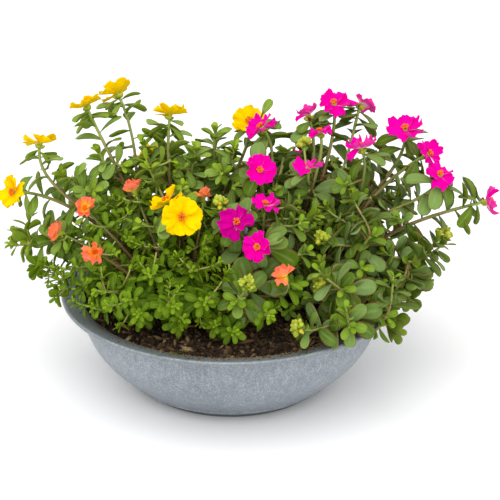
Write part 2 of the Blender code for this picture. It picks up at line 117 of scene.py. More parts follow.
class Finish:
    """A Principled material with fixed values by socket name, whose other nodes all come from node()."""

    def __init__(self, name, **fixed):
        self.material = bpy.data.materials.new(name)
        self.material.use_nodes = True
        self.tree = self.material.node_tree
        self.shader = self.tree.nodes["Principled BSDF"]
        for socket, value in fixed.items():
            self.shader.inputs[socket.replace("_", " ")].default_value = value

    def node(self, kind, settings=None, inputs=None, output=0):
        """Adds a node: its settings first, then its sockets' values or wires, and returns one output."""
        node = self.tree.nodes.new(kind)
        for key, value in (settings or {}).items():
            if key == "stops":
                ramp = node.color_ramp.elements
                while len(ramp) < len(value):
                    ramp.new(0.5)
                for stop, (place, colour) in zip(ramp, value):
                    stop.position = place
                    stop.color = (*colour, 1.0)
            else:
                setattr(node, key, value)
        for key, value in (inputs or {}).items():
            self.feed(node.inputs[key], value)
        return Wire(self, node.outputs[output])

    def feed(self, socket, value):
        """Links a wire to a socket, or sets its value."""
        if isinstance(value, Wire):
            self.tree.links.new(value.socket, socket)
        else:
            socket.default_value = value

    def place(self):
        """Where a point is on the piece, in metres."""
        return self.node("ShaderNodeTexCoord", output="Object")

    def noise(self, size, detail=3.0, roughness=0.5, stretch=(1, 1, 1)):
        """Cloudy noise from 0 to 1, its clouds about size millimetres across and stretched along the axes."""
        shares = tuple(1 / s for s in stretch)
        spread = self.node("ShaderNodeMapping", None, {0: self.place(), "Scale": shares})
        values = {"Vector": spread, "Scale": 0.6 / (size * MM), "Detail": detail, "Roughness": roughness}
        return self.node("ShaderNodeTexNoise", None, values)

    def range(self, value, low, high, to_low=0.0, to_high=1.0):
        """The value's range from low to high spread over another range, and held at its ends."""
        return self.node("ShaderNodeMapRange", {"interpolation_type": "SMOOTHSTEP"},
                         {0: value, 1: low, 2: high, 3: to_low, 4: to_high})

    def mix(self, share, first, second):
        """Two colours mixed by a share."""
        first, second = (c if isinstance(c, Wire) else (*c, 1.0) for c in (first, second))
        return self.node("ShaderNodeMix", {"data_type": "RGBA"}, {0: share, 6: first, 7: second}, output=2)

    def ramp(self, value, *stops):
        """The colour that a ramp has at the value."""
        return self.node("ShaderNodeValToRGB", {"stops": stops}, {0: value})

    def attribute(self, name, output="Fac"):
        """A value that the mesh holds at each point."""
        return self.node("ShaderNodeAttribute", {"attribute_name": name}, output=output)

    def bump(self, height, depth, strength=1.0):
        """Raises the surface by a height from 0 to 1, over a depth in millimetres."""
        values = {"Strength": strength, "Distance": depth * MM, "Height": height}
        self.feed(self.shader.inputs["Normal"], self.node("ShaderNodeBump", None, values))

    def wear(self, **wires):
        """Feeds what changes over the surface to the shader's sockets, by name."""
        for socket, value in wires.items():
            self.feed(self.shader.inputs[socket.replace("_", " ")], value)


def make_piece(name, points, faces, finish, slot, replaced=(), **attributes):
    """One smooth mesh piece from points in millimetres; attributes are one number or three for each point."""
    mesh = bpy.data.meshes.new(name)
    mesh.from_pydata((np.asarray(points).reshape(-1, 3) * MM).tolist(), [], faces)
    mesh.polygons.foreach_set("use_smooth", np.ones(len(mesh.polygons), bool))
    for key, values in attributes.items():
        flat = np.asarray(values, np.float32).reshape(len(mesh.vertices), -1)
        kind, field = ("FLOAT", "value") if flat.shape[1] == 1 else ("FLOAT_VECTOR", "vector")
        mesh.attributes.new(key, kind, "POINT").data.foreach_set(field, flat.ravel())
    mesh.materials.append(finish.material)
    mesh.update()
    piece = bpy.data.objects.new(name, mesh)
    bpy.context.scene.collection.objects.link(piece)
    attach(piece, "root")
    if replaced:
        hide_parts(*replaced)


def tube_faces(count, rows, sides):
    """Quads of open tubes of rings of points, each tube's points after the last one's."""
    number = np.arange(count * rows * sides).reshape(count, rows, sides)
    following = np.roll(number, -1, axis=2)
    quads = np.stack([number[:, :-1], following[:, :-1], following[:, 1:], number[:, 1:]], axis=-1)
    return quads.reshape(-1, 4)


def closed_faces(count, rows, sides, start=0):
    """Faces of tubes that a flat face closes at each end, with their points from a start number on."""
    first = start + np.arange(count)[:, None] * rows * sides
    ring = np.arange(sides)
    ends = (first + ring[::-1]).tolist() + (first + (rows - 1) * sides + ring).tolist()
    return (tube_faces(count, rows, sides) + start).tolist() + ends


def angles(count):
    """Angles evenly round a circle."""
    return np.linspace(0, 2 * math.pi, count, endpoint=False)


def turned_rings(radius, height, count):
    """A surface turned about Z: each point of a profile goes round in a circle."""
    turn, radius = angles(count), radius[:, None]
    rings = np.broadcast_arrays(radius * np.cos(turn), radius * np.sin(turn), height[:, None])
    return np.stack(rings, axis=-1)


def side_radius(height):
    """The side's outer radius at a height: a power curve from the foot out to the collar."""
    depth = 1 - (height - FOOT_HEIGHT) / (RIM_HEIGHT - COLLAR_DROP - WALL - FOOT_HEIGHT)
    foot = FOOT_RADIUS + FOOT_STEP
    return foot + (COLLAR_INNER_RADIUS + WALL - foot) * (1 - np.maximum(0.0, depth) ** SIDE_POWER)


def bend(centre, radius, start, end, steps=6):
    """Points of a small arc in the profile, from one angle to another in degrees."""
    angle = np.radians(np.linspace(start, end, steps))
    return list(zip(centre[0] + radius * np.cos(angle), centre[1] + radius * np.sin(angle)))


collar_top = RIM_HEIGHT - COLLAR_DROP
collar_base = collar_top - WALL
heights = np.concatenate([np.linspace(FOOT_HEIGHT + 0.8, FOOT_ROLL_TOP + 0.6, FOOT_ROWS),
                          np.linspace(FOOT_ROLL_TOP + 2.5, collar_base - 1.0, SIDE_ROWS)])
foot_roll = (FOOT_ROLL * np.clip((FOOT_ROLL_TOP - heights) / FOOT_ROLL_FADES[0], 0, 1)
             * np.clip((heights - FOOT_HEIGHT) / FOOT_ROLL_FADES[1], 0, 1))
side = list(zip(side_radius(heights) + foot_roll, heights))
profile = [(AXIS_RADIUS, FOOT_EDGE), (FOOT_RADIUS - FOOT_RING, FOOT_EDGE)]
profile += [(FOOT_RADIUS - FOOT_RING + 0.6, 0.0)]
profile += bend((FOOT_RADIUS - FOOT_EDGE, FOOT_EDGE), FOOT_EDGE, -90, 0)
profile += [(FOOT_RADIUS, FOOT_HEIGHT - FOOT_EDGE)]
profile += bend((FOOT_RADIUS + FOOT_EDGE, FOOT_HEIGHT - 1.0), STEP_HOLLOW, 180, 95, 5)
profile += side + [(COLLAR_INNER_RADIUS + WALL + 1.2, collar_base + 0.4)]
profile += bend((RIM_RADIUS - LIP_ROLL, RIM_HEIGHT - LIP_DROP), LIP_ROLL, -120, 140, LIP_POINTS)
profile += [(RIM_RADIUS - LIP_WIDTH, RIM_HEIGHT - 0.9)]
profile += [(COLLAR_INNER_RADIUS + out, collar_top + up) for out, up in COLLAR_EDGE]
profile += [(r - WALL, h + WALL) for r, h in side[:FOOT_ROWS - 1:-1]]
profile += [(AXIS_RADIUS, FOOT_HEIGHT + WALL)]

zinc = Finish("zinc look", Metallic=0.25, Specular_IOR_Level=0.5)
mottle = zinc.noise(3.4, 5.0, 0.75)
speckle = zinc.noise(0.7, 2.0, 0.6)
brushed = zinc.noise(1.3, 3.0, 0.6, (1, 1, 8))
clouds = zinc.noise(40.0, 2.0)
height = zinc.node("ShaderNodeSeparateXYZ", None, {0: zinc.place()}, output=2)
shade = mottle * 0.22 + speckle * 0.42 + brushed * 0.2 + clouds * 0.16
zinc_colour = zinc.ramp(shade, (0.33, (0.10, 0.12, 0.14)), (0.5, (0.25, 0.28, 0.315)),
                        (0.67, (0.46, 0.49, 0.53)))


def by_height(low, high, at_low, at_high):
    """A share that changes over a span of the bowl's height, in millimetres, and is held at its ends."""
    return zinc.range(height, low * MM, high * MM, at_low, at_high)


# Painted shade: the foot is dark up to 3.5 mm and fades back to the zinc colour by 6 mm.
zinc_colour = zinc.mix(by_height(3.5, 6.0, 0.75, 0.0), zinc_colour, (0.07, 0.08, 0.08))
# Painted shade: a faint darker band where the side curves in above the foot, darkest at 14 mm and gone by 34
# mm.
painted_hollow_shade = by_height(6.0, 14.0, 0.0, 1.0) * by_height(14.0, 34.0, 0.22, 0.0)
zinc_colour = zinc.mix(painted_hollow_shade, zinc_colour, (0.12, 0.135, 0.16))
# Painted shade on the collar's sloping inner face, fading out on the lip.
collar_shade = by_height(73.5, 75.7, 0.75, 0.45) * by_height(73.2, 73.6, 0.0, 1.0)
zinc_colour = zinc.mix(collar_shade * by_height(77.0, 77.6, 1.0, 0.0), zinc_colour, (0.15, 0.175, 0.15))
zinc.wear(Base_Color=zinc_colour, Roughness=zinc.range(shade, 0.3, 0.7, 0.4, 0.56))
zinc.bump(mottle * 0.5 + speckle * 0.3 + brushed * 0.2, 0.15, 0.5)
bowl_rings = turned_rings(*np.array(profile).T, BOWL_TURNS)
bowl_faces = closed_faces(1, len(profile), BOWL_TURNS)
make_piece("planting_bowl", bowl_rings, bowl_faces, zinc, "zinc_bowl", ("bowl",))

# The soil. Damp dark peat that fills the bowl to just under the collar, with clods, bits of bark, a little
# moss and a few dry scraps lying on it. It rests on the bowl's floor and holds the stems.
SOIL_EDGE_HEIGHT = 70.0
SOIL_CROWN = 3.5
SOIL_ROUGHNESS = 1.1
SOIL_ROWS = 70
SOIL_TURNS = 240
SOIL_SIDE_HEIGHTS = (20.0, 38.0, 56.0)
CRUMBLE_WAVES = ((9.0, 1.2, 0.4), (5.2, 0.9, 1.3), (3.1, 0.6, 2.2), (1.9, 0.35, 0.9))
LUMP_CORNERS = 6
CRUMBS = 1700
BARK_BITS = 430
MOSS_PATCHES = 22
MOSS_IN_PATCH = 30
MOSS_SPREAD = (4.0, 2.6, 0.0)
COLLAR_CRUMBS = 520
SOIL_SEED = 11


def soil_height(x, y):
    """A shallow crown over the bowl, with clods as crossed waves that fade out towards the edge."""
    share = np.hypot(x, y) / COLLAR_INNER_RADIUS
    clods = np.sin(0.21 * x + 0.6) * np.sin(0.19 * y) + 0.6 * np.sin(0.33 * x - 0.27 * y)
    return SOIL_EDGE_HEIGHT + SOIL_CROWN * (1 - share * share) + SOIL_ROUGHNESS * clods * (1 - share)


def crumble(x, y):
    """Fine crumbs on the soil, in millimetres: crossed waves at four sizes, each turned against the last."""
    total = 0.0
    for size, depth, turn in CRUMBLE_WAVES:
        a = (x * math.cos(turn) + y * math.sin(turn)) * 2 * math.pi / size
        b = (y * math.cos(turn) - x * math.sin(turn)) * 2 * math.pi / size
        total = total + depth * np.sin(a + 1.7 * np.sin(b * 0.31)) * np.sin(b + 1.3 * np.sin(a * 0.23))
    return total


rings = np.linspace(0, 1, SOIL_ROWS)[:, None]
angle = angles(SOIL_TURNS)
edge = side_radius(SOIL_EDGE_HEIGHT) - WALL - SEAT_GAP
radius = edge * rings
x, y = radius * np.cos(angle), radius * np.sin(angle)
fade = np.clip((1 - rings) * 8, 0, 1)
top = np.stack([x, y, soil_height(x, y) + (crumble(x, y) + 0.6) * fade], axis=-1)[::-1]
low = np.array([FOOT_HEIGHT + WALL + SEAT_GAP, *SOIL_SIDE_HEIGHTS])
under = turned_rings(side_radius(low - WALL - SEAT_GAP) - WALL - SEAT_GAP, low, SOIL_TURNS)
soil_points = np.concatenate([under, top])
soil_faces = tube_faces(1, len(soil_points), SOIL_TURNS).tolist() + [list(range(SOIL_TURNS))[::-1]]

peat = Finish("peat soil", Roughness=0.95, Specular_IOR_Level=0.25)
grains = peat.noise(2.2, 6.0, 0.7)
patches = peat.noise(16.0, 3.0)
peat_colour = peat.ramp(grains * 0.75 + patches * 0.25, (0.38, (0.004, 0.003, 0.002)),
                        (0.5, (0.036, 0.020, 0.010)), (0.6, (0.13, 0.075, 0.036)), (0.7, (0.27, 0.17, 0.09)))
peat.wear(Base_Color=peat_colour)
peat.bump(grains, 1.2, 1.0)
make_piece("soil_bed", soil_points, soil_faces, peat, "potting_soil", ("soil",))


def scraps(name, spots, sizes, stretch, finish, seed):
    """Small rough lumps, each a ring of corners between two poles, turned about a nearly upright axis."""
    rng = np.random.default_rng(seed)
    count, each = len(spots), LUMP_CORNERS + 2
    around = angles(LUMP_CORNERS)
    shape = np.stack([np.cos(around), np.sin(around), 0 * around], axis=-1)
    shape = np.concatenate([shape, [[0, 0, 1], [0, 0, -1]]])
    lumps = shape * rng.uniform(0.65, 1.2, (count, each, 1)) * np.array(stretch)
    axis = rng.normal(size=(count, 1, 3))
    axis[..., 2] += 2.5
    axis /= np.linalg.norm(axis, axis=-1, keepdims=True)
    turn = rng.uniform(0, 2 * math.pi, (count, 1, 1))
    flat = lumps * np.cos(turn) + np.cross(axis, lumps) * np.sin(turn)
    flat = flat + axis * (axis * lumps).sum(-1, keepdims=True) * (1 - np.cos(turn))
    points = np.asarray(spots)[:, None] + flat * np.asarray(sizes)[:, None, None]
    ring = np.arange(LUMP_CORNERS)
    following = np.roll(ring, -1)
    upper = np.stack([ring, following, np.full(LUMP_CORNERS, LUMP_CORNERS)], axis=-1)
    lower = np.stack([following, ring, np.full(LUMP_CORNERS, LUMP_CORNERS + 1)], axis=-1)
    faces = (np.arange(count)[:, None, None] * each + np.concatenate([upper, lower])).reshape(-1, 3).tolist()
    make_piece(name, points, faces, finish, "potting_soil", tone=np.repeat(rng.uniform(0, 1, count), each))


def lying_spots(rng, count, inner, outer, lift):
    """Random spots between two radii, a little above the soil."""
    radius = np.sqrt(rng.uniform(inner**2, outer**2, count))
    turn = rng.uniform(0, 2 * math.pi, count)
    x, y = radius * np.cos(turn), radius * np.sin(turn)
    return np.stack([x, y, soil_height(x, y) + crumble(x, y) + lift], axis=-1)


crumb = Finish("soil crumbs", Roughness=0.95, Specular_IOR_Level=0.2)
crumb_colour = crumb.ramp(crumb.attribute("tone"), (0.0, (0.012, 0.008, 0.005)),
                          (0.55, (0.075, 0.043, 0.020)), (1.0, (0.30, 0.19, 0.095)))
crumb.wear(Base_Color=crumb.mix(crumb.noise(1.5, 4.0) * 0.5, crumb_colour, (0.01, 0.007, 0.004)))
crumb.bump(crumb.noise(0.8, 4.0), 0.3)
rng = np.random.default_rng(SOIL_SEED)
spots = lying_spots(rng, CRUMBS, 8.0, edge - 1.5, 0.5)
scraps("soil_crumbs", spots, rng.uniform(0.9, 3.6, CRUMBS), (1, 0.75, 0.55), crumb, SOIL_SEED + 1)

bark = Finish("bark bits", Roughness=0.85, Specular_IOR_Level=0.3)
bark_colour = bark.ramp(bark.attribute("tone"), (0.0, (0.07, 0.034, 0.013)), (0.5, (0.24, 0.135, 0.055)),
                        (1.0, (0.56, 0.40, 0.20)))
bark.wear(Base_Color=bark.mix(bark.noise(1.2, 4.0, 0.6, (4, 1, 1)), bark_colour, (0.05, 0.026, 0.012)))
bark.bump(bark.noise(0.9, 4.0, 0.6, (4, 1, 1)), 0.4)
spots = lying_spots(rng, BARK_BITS, 50.0, edge - 2.5, 1.5)
scraps("bark_bits", spots, rng.uniform(1.8, 8.5, BARK_BITS), (1.0, 0.3, 0.24), bark, SOIL_SEED + 2)

moss = Finish("moss bits", Roughness=0.9, Specular_IOR_Level=0.2)
moss.wear(Base_Color=moss.ramp(moss.noise(1.0, 4.0), (0.3, (0.03, 0.05, 0.004)), (0.7, (0.20, 0.26, 0.02))))
moss.bump(moss.noise(0.5, 4.0), 0.5)
patches = lying_spots(rng, MOSS_PATCHES, 80.0, edge - 7.0, 0.0)
spots = np.repeat(patches, MOSS_IN_PATCH, axis=0)
spots = spots + rng.normal(size=spots.shape) * MOSS_SPREAD
spots[:, 2] = soil_height(spots[:, 0], spots[:, 1]) + crumble(spots[:, 0], spots[:, 1]) - 0.1
spots = spots[np.hypot(spots[:, 0], spots[:, 1]) < edge - 1.5]
scraps("moss_bits", spots, rng.uniform(0.5, 1.5, len(spots)), (1, 1, 0.7), moss, SOIL_SEED + 3)

turn = rng.normal(-1.35, 0.55, COLLAR_CRUMBS)
radius = np.minimum(COLLAR_INNER_RADIUS + 1.0 + rng.exponential(4.2, COLLAR_CRUMBS), RIM_RADIUS - 5)
rise = COLLAR_DROP * (radius - COLLAR_INNER_RADIUS) / (RIM_RADIUS - COLLAR_INNER_RADIUS)
spots = np.stack([radius * np.cos(turn), radius * np.sin(turn), collar_top + rise + 0.2], axis=-1)
scraps("collar_crumbs", spots, rng.uniform(0.3, 1.1, COLLAR_CRUMBS), (1, 0.8, 0.6), bark, SOIL_SEED + 4)

# The stems. Fleshy round stems, yellow-green at their tips and brown-red lower down, that come up out of the
# soil, fork, and end in a bloom or in a tuft of leaves. Each one carries its leaves in a spiral.
PICTURE_MIDDLE = 250.0
PIXELS_PER_MM = 1.265
SIGHT_RANGE = 1400.0
SIGHT_TILT = math.radians(23.5)
SIGHT_AIM = np.array([15.0, 0.0, 109.0])
ROOT_SPREAD = 0.27
HOLE_DEPTH = 9.0
FORK_SHARE = 0.42
FORK_STAGGER = 0.13
FORK_SLANT = 1.6
COLLAR_ABOVE_SOIL = 3.0
MAIN_LEAN = 0.12
MAIN_RISE = 0.36
END_PULL = 0.3
FORK_END_PULL = 0.25
MAIN_STEPS = 5
DROOP_HEIGHT = 84.0
HUB_DROP = 3.6
STALK_SIDES = 10
STALK_RING_SPACING = 3.5
FEWEST_RINGS = 10
NODE_SWELLING = 0.07
NODE_SPACING = 9.0
FORK_AGE = 0.55

Plant = namedtuple("Plant", "crown stem_root stem_tip leaf_length leaf_width bloom_radius")
PLANTS = {
    "yellow": Plant((-42.0, 22.0), 1.7, 1.15, 25.0, 11.5, 14.0),
    "coral": Plant((-38.0, -38.0), 1.4, 0.9, 16.0, 7.0, 10.0),
    "magenta": Plant((44.0, 0.0), 1.8, 1.2, 26.0, 13.5, 14.5),
}

# Each tip: the picture point that it is seen at, its depth behind the bowl's centre, and for a bloom the way
# that it faces and its size. The first tip of a stem ends the main stem, and each other one ends a fork.
Tip = namedtuple("Tip", "seen_x seen_y depth faces size", defaults=(None, 1.0))
STEMS = (
    ("yellow", Tip(40, 143, 30, (0.1, 0.45, 0.85)), Tip(62, 174, 14)),
    ("yellow", Tip(15, 192, 10, (-0.75, -0.6, 0.25)), Tip(27, 243, 0)),
    ("yellow", Tip(86, 105, 46, (-0.4, 0.45, 0.8), 0.95), Tip(117, 93, 64, (-0.45, 0.4, 0.75), 1.05),
     Tip(98, 152, 30)),
    ("yellow", Tip(170, 114, 50, (0.1, 0.5, 0.85)), Tip(195, 150, 30), Tip(142, 142, 36)),
    ("yellow", Tip(249, 122, 62, (-0.1, -0.55, 0.8)), Tip(216, 130, 44), Tip(228, 172, 26)),
    ("yellow", Tip(182, 217, -66, (0.05, -0.92, 0.4), 1.1), Tip(168, 202, -38, (-0.6, 0.1, 0.8)),
     Tip(150, 168, 0)),
    ("yellow", Tip(150, 158, 122, (-0.3, 0.75, 0.6)), Tip(112, 175, 105), Tip(195, 165, 118),
     Tip(72, 182, 82), Tip(222, 190, 124)),
    ("coral", Tip(60, 233, -12, (-0.75, -0.2, 0.5)), Tip(40, 264, -25)),
    ("coral", Tip(86, 209, -18, (-0.3, -0.6, 0.7), 1.05), Tip(72, 266, -52)),
    ("coral", Tip(95, 252, -66, (0.1, -0.9, 0.4), 1.1), Tip(62, 289, -58)),
    ("coral", Tip(134, 191, -8, (-0.35, 0.1, 0.9)), Tip(112, 226, -30)),
    ("coral", Tip(203, 197, -22, (0.05, 0.2, 0.95), 0.9), Tip(158, 244, -56), Tip(205, 240, -62)),
    ("coral", Tip(96, 291, -88), Tip(128, 300, -98)),
    ("coral", Tip(148, 274, -88), Tip(166, 306, -108)),
    ("coral", Tip(192, 270, -88), Tip(206, 302, -110)),
    ("coral", Tip(285, 277, -96, (-0.4, -0.1, 0.9)), Tip(270, 316, -112)),
    ("magenta", Tip(260, 170, -22, (0.05, -0.88, 0.45), 1.05), Tip(262, 128, 30, (-0.55, -0.1, 0.8), 1.1),
     Tip(284, 152, 24)),
    ("magenta", Tip(236, 223, -72, (0.0, -0.75, 0.65), 1.15), Tip(265, 206, -42, (0.1, 0.1, 0.95))),
    ("magenta", Tip(258, 247, -90, (-0.3, -0.85, 0.35), 1.0), Tip(236, 302, -110)),
    ("magenta", Tip(308, 115, 46, (-0.3, 0.2, 0.9), 0.9), Tip(320, 132, 24, (-0.2, 0.1, 0.95), 0.8),
     Tip(308, 168, -15, (0.0, 0.1, 0.95))),
    ("magenta", Tip(334, 104, 44, (-0.1, -0.35, 0.9)), Tip(361, 104, 64, (0.3, 0.5, 0.75), 1.05),
     Tip(345, 165, 30)),
    ("magenta", Tip(405, 130, 34, (-0.1, -0.3, 0.92), 1.25), Tip(361, 148, 12, (-0.35, 0.25, 0.85), 1.1)),
    ("magenta", Tip(428, 154, 22, (0.65, -0.4, 0.55), 1.0), Tip(440, 175, -4, (0.0, -0.45, 0.85), 1.0),
     Tip(398, 196, 24)),
    ("magenta", Tip(487, 201, 0, (0.93, -0.1, 0.3), 1.0), Tip(412, 262, -24)),
    ("magenta", Tip(388, 318, -74), Tip(372, 236, -40), Tip(342, 290, -88), Tip(350, 328, -106)),
    ("magenta", Tip(300, 160, 122, (0.1, 0.75, 0.6)), Tip(362, 180, 105, (0.5, 0.6, 0.6)), Tip(252, 175, 128),
     Tip(332, 192, 128), Tip(402, 190, 84)),
)


def unit(vector):
    """The vector at length 1, or each vector of an array."""
    vector = np.asarray(vector, float)
    return vector / np.linalg.norm(vector, axis=-1, keepdims=True)


SIGHT_AHEAD = np.array([0.0, math.cos(SIGHT_TILT), -math.sin(SIGHT_TILT)])
SIGHT_UP = np.array([0.0, math.sin(SIGHT_TILT), math.cos(SIGHT_TILT)])
EYE = SIGHT_AIM - SIGHT_RANGE * SIGHT_AHEAD


def on_sight_line(tip):
    """The point that is seen at the tip's picture point and lies at its depth."""
    lens = PIXELS_PER_MM * SIGHT_RANGE
    ray = SIGHT_AHEAD + SIGHT_UP * (PICTURE_MIDDLE - tip.seen_y) / lens
    ray[0] = (tip.seen_x - PICTURE_MIDDLE) / lens
    return EYE + ray * (tip.depth - EYE[1]) / ray[1]


def side_frame(along, near):
    """Two unit vectors square to a direction, the first as near as can be to the one given."""
    first = near - along * np.dot(near, along)
    first = unit(first) if np.linalg.norm(first) > 1e-6 else unit(np.cross(along, (1.0, 0.0, 0.0)))
    return first, np.cross(along, first)


def curve_between(start, start_pull, end, end_pull, t):
    """A cubic Bezier curve at the parameters t."""
    t = np.asarray(t, float)[:, None]
    return ((1 - t) ** 3 * start + 3 * (1 - t) ** 2 * t * (start + start_pull)
            + 3 * (1 - t) * t * t * (end + end_pull) + t**3 * end)


def stem_end(tip, plant):
    """Where a stem stops and the way it points there."""
    place = on_sight_line(tip)
    if tip.faces is None:
        return place, unit(place - np.array([*plant.crown, DROOP_HEIGHT]))
    return place - unit(tip.faces) * (HUB_DROP + SEAT_GAP), unit(tip.faces)


# A run of stem is a curve from its start to its end, with the pull of each end on it; foot is its buried end
Run = namedtuple("Run", "kind start start_pull end end_pull foot root_radius tip_radius tip")


def main_run(kind, tip):
    """The main stem: straight up out of its hole in the soil, then over to its tip."""
    plant = PLANTS[kind]
    end, heading = stem_end(tip, plant)
    foot = np.array(plant.crown) + ROOT_SPREAD * (end[:2] - plant.crown)
    soil = soil_height(*foot)
    collar = np.array([*foot, soil + COLLAR_ABOVE_SOIL])
    reach = np.linalg.norm(end - collar)
    pull = np.array([*(end[:2] - foot) * MAIN_LEAN, MAIN_RISE * reach])
    buried = np.array([*foot, soil - HOLE_DEPTH + SEAT_GAP])
    return Run(kind, collar, pull, end, -heading * END_PULL * reach, buried,
               plant.stem_root, plant.stem_tip, tip)


def fork_run(kind, tip, main, number):
    """A fork: it leaves the main stem's side at a slant and turns up to its own tip."""
    plant = PLANTS[kind]
    end, heading = stem_end(tip, plant)
    knots = curve_between(*main[1:5], np.linspace(0, 1, MAIN_STEPS + 1))
    place = (FORK_SHARE + FORK_STAGGER * number) * MAIN_STEPS
    low = int(place)
    start = knots[low] + (knots[low + 1] - knots[low]) * (place - low)
    tangent = unit(knots[low + 1] - knots[low])
    reach = np.linalg.norm(end - start)
    leaving = unit(tangent + FORK_SLANT * side_frame(tangent, end - start)[0])
    return Run(kind, start, leaving * END_PULL * reach, end, -heading * FORK_END_PULL * reach, None,
               plant.stem_tip, plant.stem_tip, tip)


def run_point(run, share):
    """A point on a run and the way the run goes there."""
    near = curve_between(*run[1:5], [share - 0.01, share, share + 0.01])
    return near[1], unit(near[2] - near[0])


def tube_grid(path, radius, sides):
    """Rings round a path: the frame across it leans on one fixed side, so it doesn't twist."""
    tangent = unit(np.gradient(path, axis=0))
    bent = np.cross(tangent[0], tangent[-1])
    lean = bent if np.linalg.norm(bent) > 1e-3 else np.array([0.3, 1.0, 0.2])
    side = unit(lean - tangent * (tangent @ lean)[:, None])
    across = np.cross(tangent, side)
    turn = angles(sides)[:, None]
    circle = np.cos(turn) * side[:, None] + np.sin(turn) * across[:, None]
    return path[:, None] + circle * np.asarray(radius)[:, None, None]


def stem_mesh(runs):
    """All the tubes of one plant stem, with a swelling at each leaf node; closed by flat ends."""
    points, faces, ages = [], [], []
    start = 0
    for run in runs:
        length = np.linalg.norm(run.end - run.start)
        share = np.linspace(0, 1, max(FEWEST_RINGS, int(length / STALK_RING_SPACING)))
        path = curve_between(*run[1:5], share)
        radius = run.root_radius + (run.tip_radius - run.root_radius) * share
        radius = radius * (1 + NODE_SWELLING * np.cos(share * length * 2 * math.pi / NODE_SPACING) ** 8)
        age = (1 - share) * (1.0 if run.foot is not None else FORK_AGE)
        if run.foot is not None:
            path = np.vstack([run.foot, path])
            radius, age = np.append(radius[0], radius), np.append(1.0, age)
        faces += closed_faces(1, len(path), STALK_SIDES, start)
        points.append(tube_grid(path, radius, STALK_SIDES))
        ages.append(np.repeat(age, STALK_SIDES))
        start += len(path) * STALK_SIDES
    return np.concatenate(points), faces, np.concatenate(ages)


stem_skin = Finish("stem skin", Roughness=0.42, Specular_IOR_Level=0.5)
age = stem_skin.attribute("age") + (stem_skin.noise(9.0, 3.0) - 0.5) * 0.35
stem_colour = stem_skin.ramp(age, (0.05, (0.26, 0.36, 0.045)), (0.3, (0.30, 0.27, 0.06)),
                             (0.55, (0.30, 0.13, 0.05)), (0.9, (0.16, 0.06, 0.03)))
streaks = stem_skin.noise(0.6, 3.0, 0.6, (1, 1, 8))
stem_skin.wear(Base_Color=stem_skin.mix(streaks * 0.3, stem_colour, (0.42, 0.44, 0.16)))
stem_skin.bump(streaks, 0.12, 0.6)

Stem = namedtuple("Stem", "name kind runs blooms")
stems = []
bloom_count = 0
for number, (kind, *tips) in enumerate(STEMS):
    name = f"{kind}_stem_{number + 1:02d}"
    runs = [main_run(kind, tips[0])]
    runs += [fork_run(kind, tip, runs[0], k) for k, tip in enumerate(tips[1:])]
    blooms = []
    for tip in tips:
        if tip.faces:
            bloom_count += 1
            blooms.append((f"{kind}_bloom_{bloom_count:02d}", tip))
    stems.append(Stem(name, kind, runs, blooms))

# The leaves. Fleshy blades, broadest past the middle and narrowed to the stem, arched and folded a little at
# the midrib. They stand in a spiral round each stem, in a tuft at its tip or in a whorl under its bloom.
Leaf = namedtuple("Leaf", "base along upper length width arch fold twist young")
LEAF_ROWS = np.array([0.0, 0.12, 0.28, 0.45, 0.62, 0.77, 0.9, 0.985])
LEAF_AROUND = 8
LEAF_THICKNESS = 0.62
LEAF_OPENING = 1.1
LEAF_CLOSING = 0.5
LEAF_ROOT = 0.02
LEAF_LEAST_HALF = 0.4
LEAF_SPOTS = np.array([0.4, 0.7, 1.0, 0.65, 0.65])
LEAF_SPOT_SIDE = 0.4
GOLDEN_TURN = math.radians(137.5)


def leaf_grid(leaves):
    """Closed blades. Along: an arc away from the upper side. Across: a flat lens, folded at the midrib.

    Half width: a power of the share of the length passed times a root of the share left, so that the blade is
    broadest past its middle.
    """
    base, along, upper, length, width, arch, fold, twist = (
        np.array([getattr(leaf, key) for leaf in leaves])[:, None] for key in Leaf._fields[:8])
    length, width, arch, fold, twist = (each[..., None] for each in (length, width, arch, fold, twist))
    u = LEAF_ROWS[None, :, None]
    turn = arch * u
    middle = base + (along * np.sin(turn) - upper * (1 - np.cos(turn))) * length / arch
    across = np.cross(along, upper)
    lift = upper * np.cos(turn) + along * np.sin(turn)
    spin = twist * u
    side = (across * np.cos(spin) + lift * np.sin(spin))[:, :, None]
    lift = (lift * np.cos(spin) - across * np.sin(spin))[:, :, None]
    peak = LEAF_OPENING / (LEAF_OPENING + LEAF_CLOSING)
    half = (width / 2) * ((u + LEAF_ROOT) / peak) ** LEAF_OPENING * ((1 - u) / (1 - peak)) ** LEAF_CLOSING
    half = np.maximum(half, LEAF_LEAST_HALF)
    around = angles(LEAF_AROUND)
    x = half * np.cos(around)
    thick = LEAF_THICKNESS * np.clip(half / 3.0, 0.5, 1.0)
    z = thick * np.sin(around) + fold * (np.abs(x) - half * 0.5)
    points = middle[:, :, None] + side * x[..., None] + lift * z[..., None]
    mark = np.stack(np.broadcast_arrays(u, np.cos(around), np.sin(around)), axis=-1)
    return points, np.broadcast_to(mark, points.shape)


def blade_spots(leaf):
    """Five spots on a blade that others keep away from: three along its middle and one on each broad side."""
    turn = leaf.arch * LEAF_SPOTS[:, None]
    arc = leaf.along * np.sin(turn) - leaf.upper * (1 - np.cos(turn))
    spots = leaf.base + arc * leaf.length / leaf.arch
    across = np.cross(leaf.along, leaf.upper) * leaf.width * LEAF_SPOT_SIDE
    spots[3] += across
    spots[4] -= across
    return spots


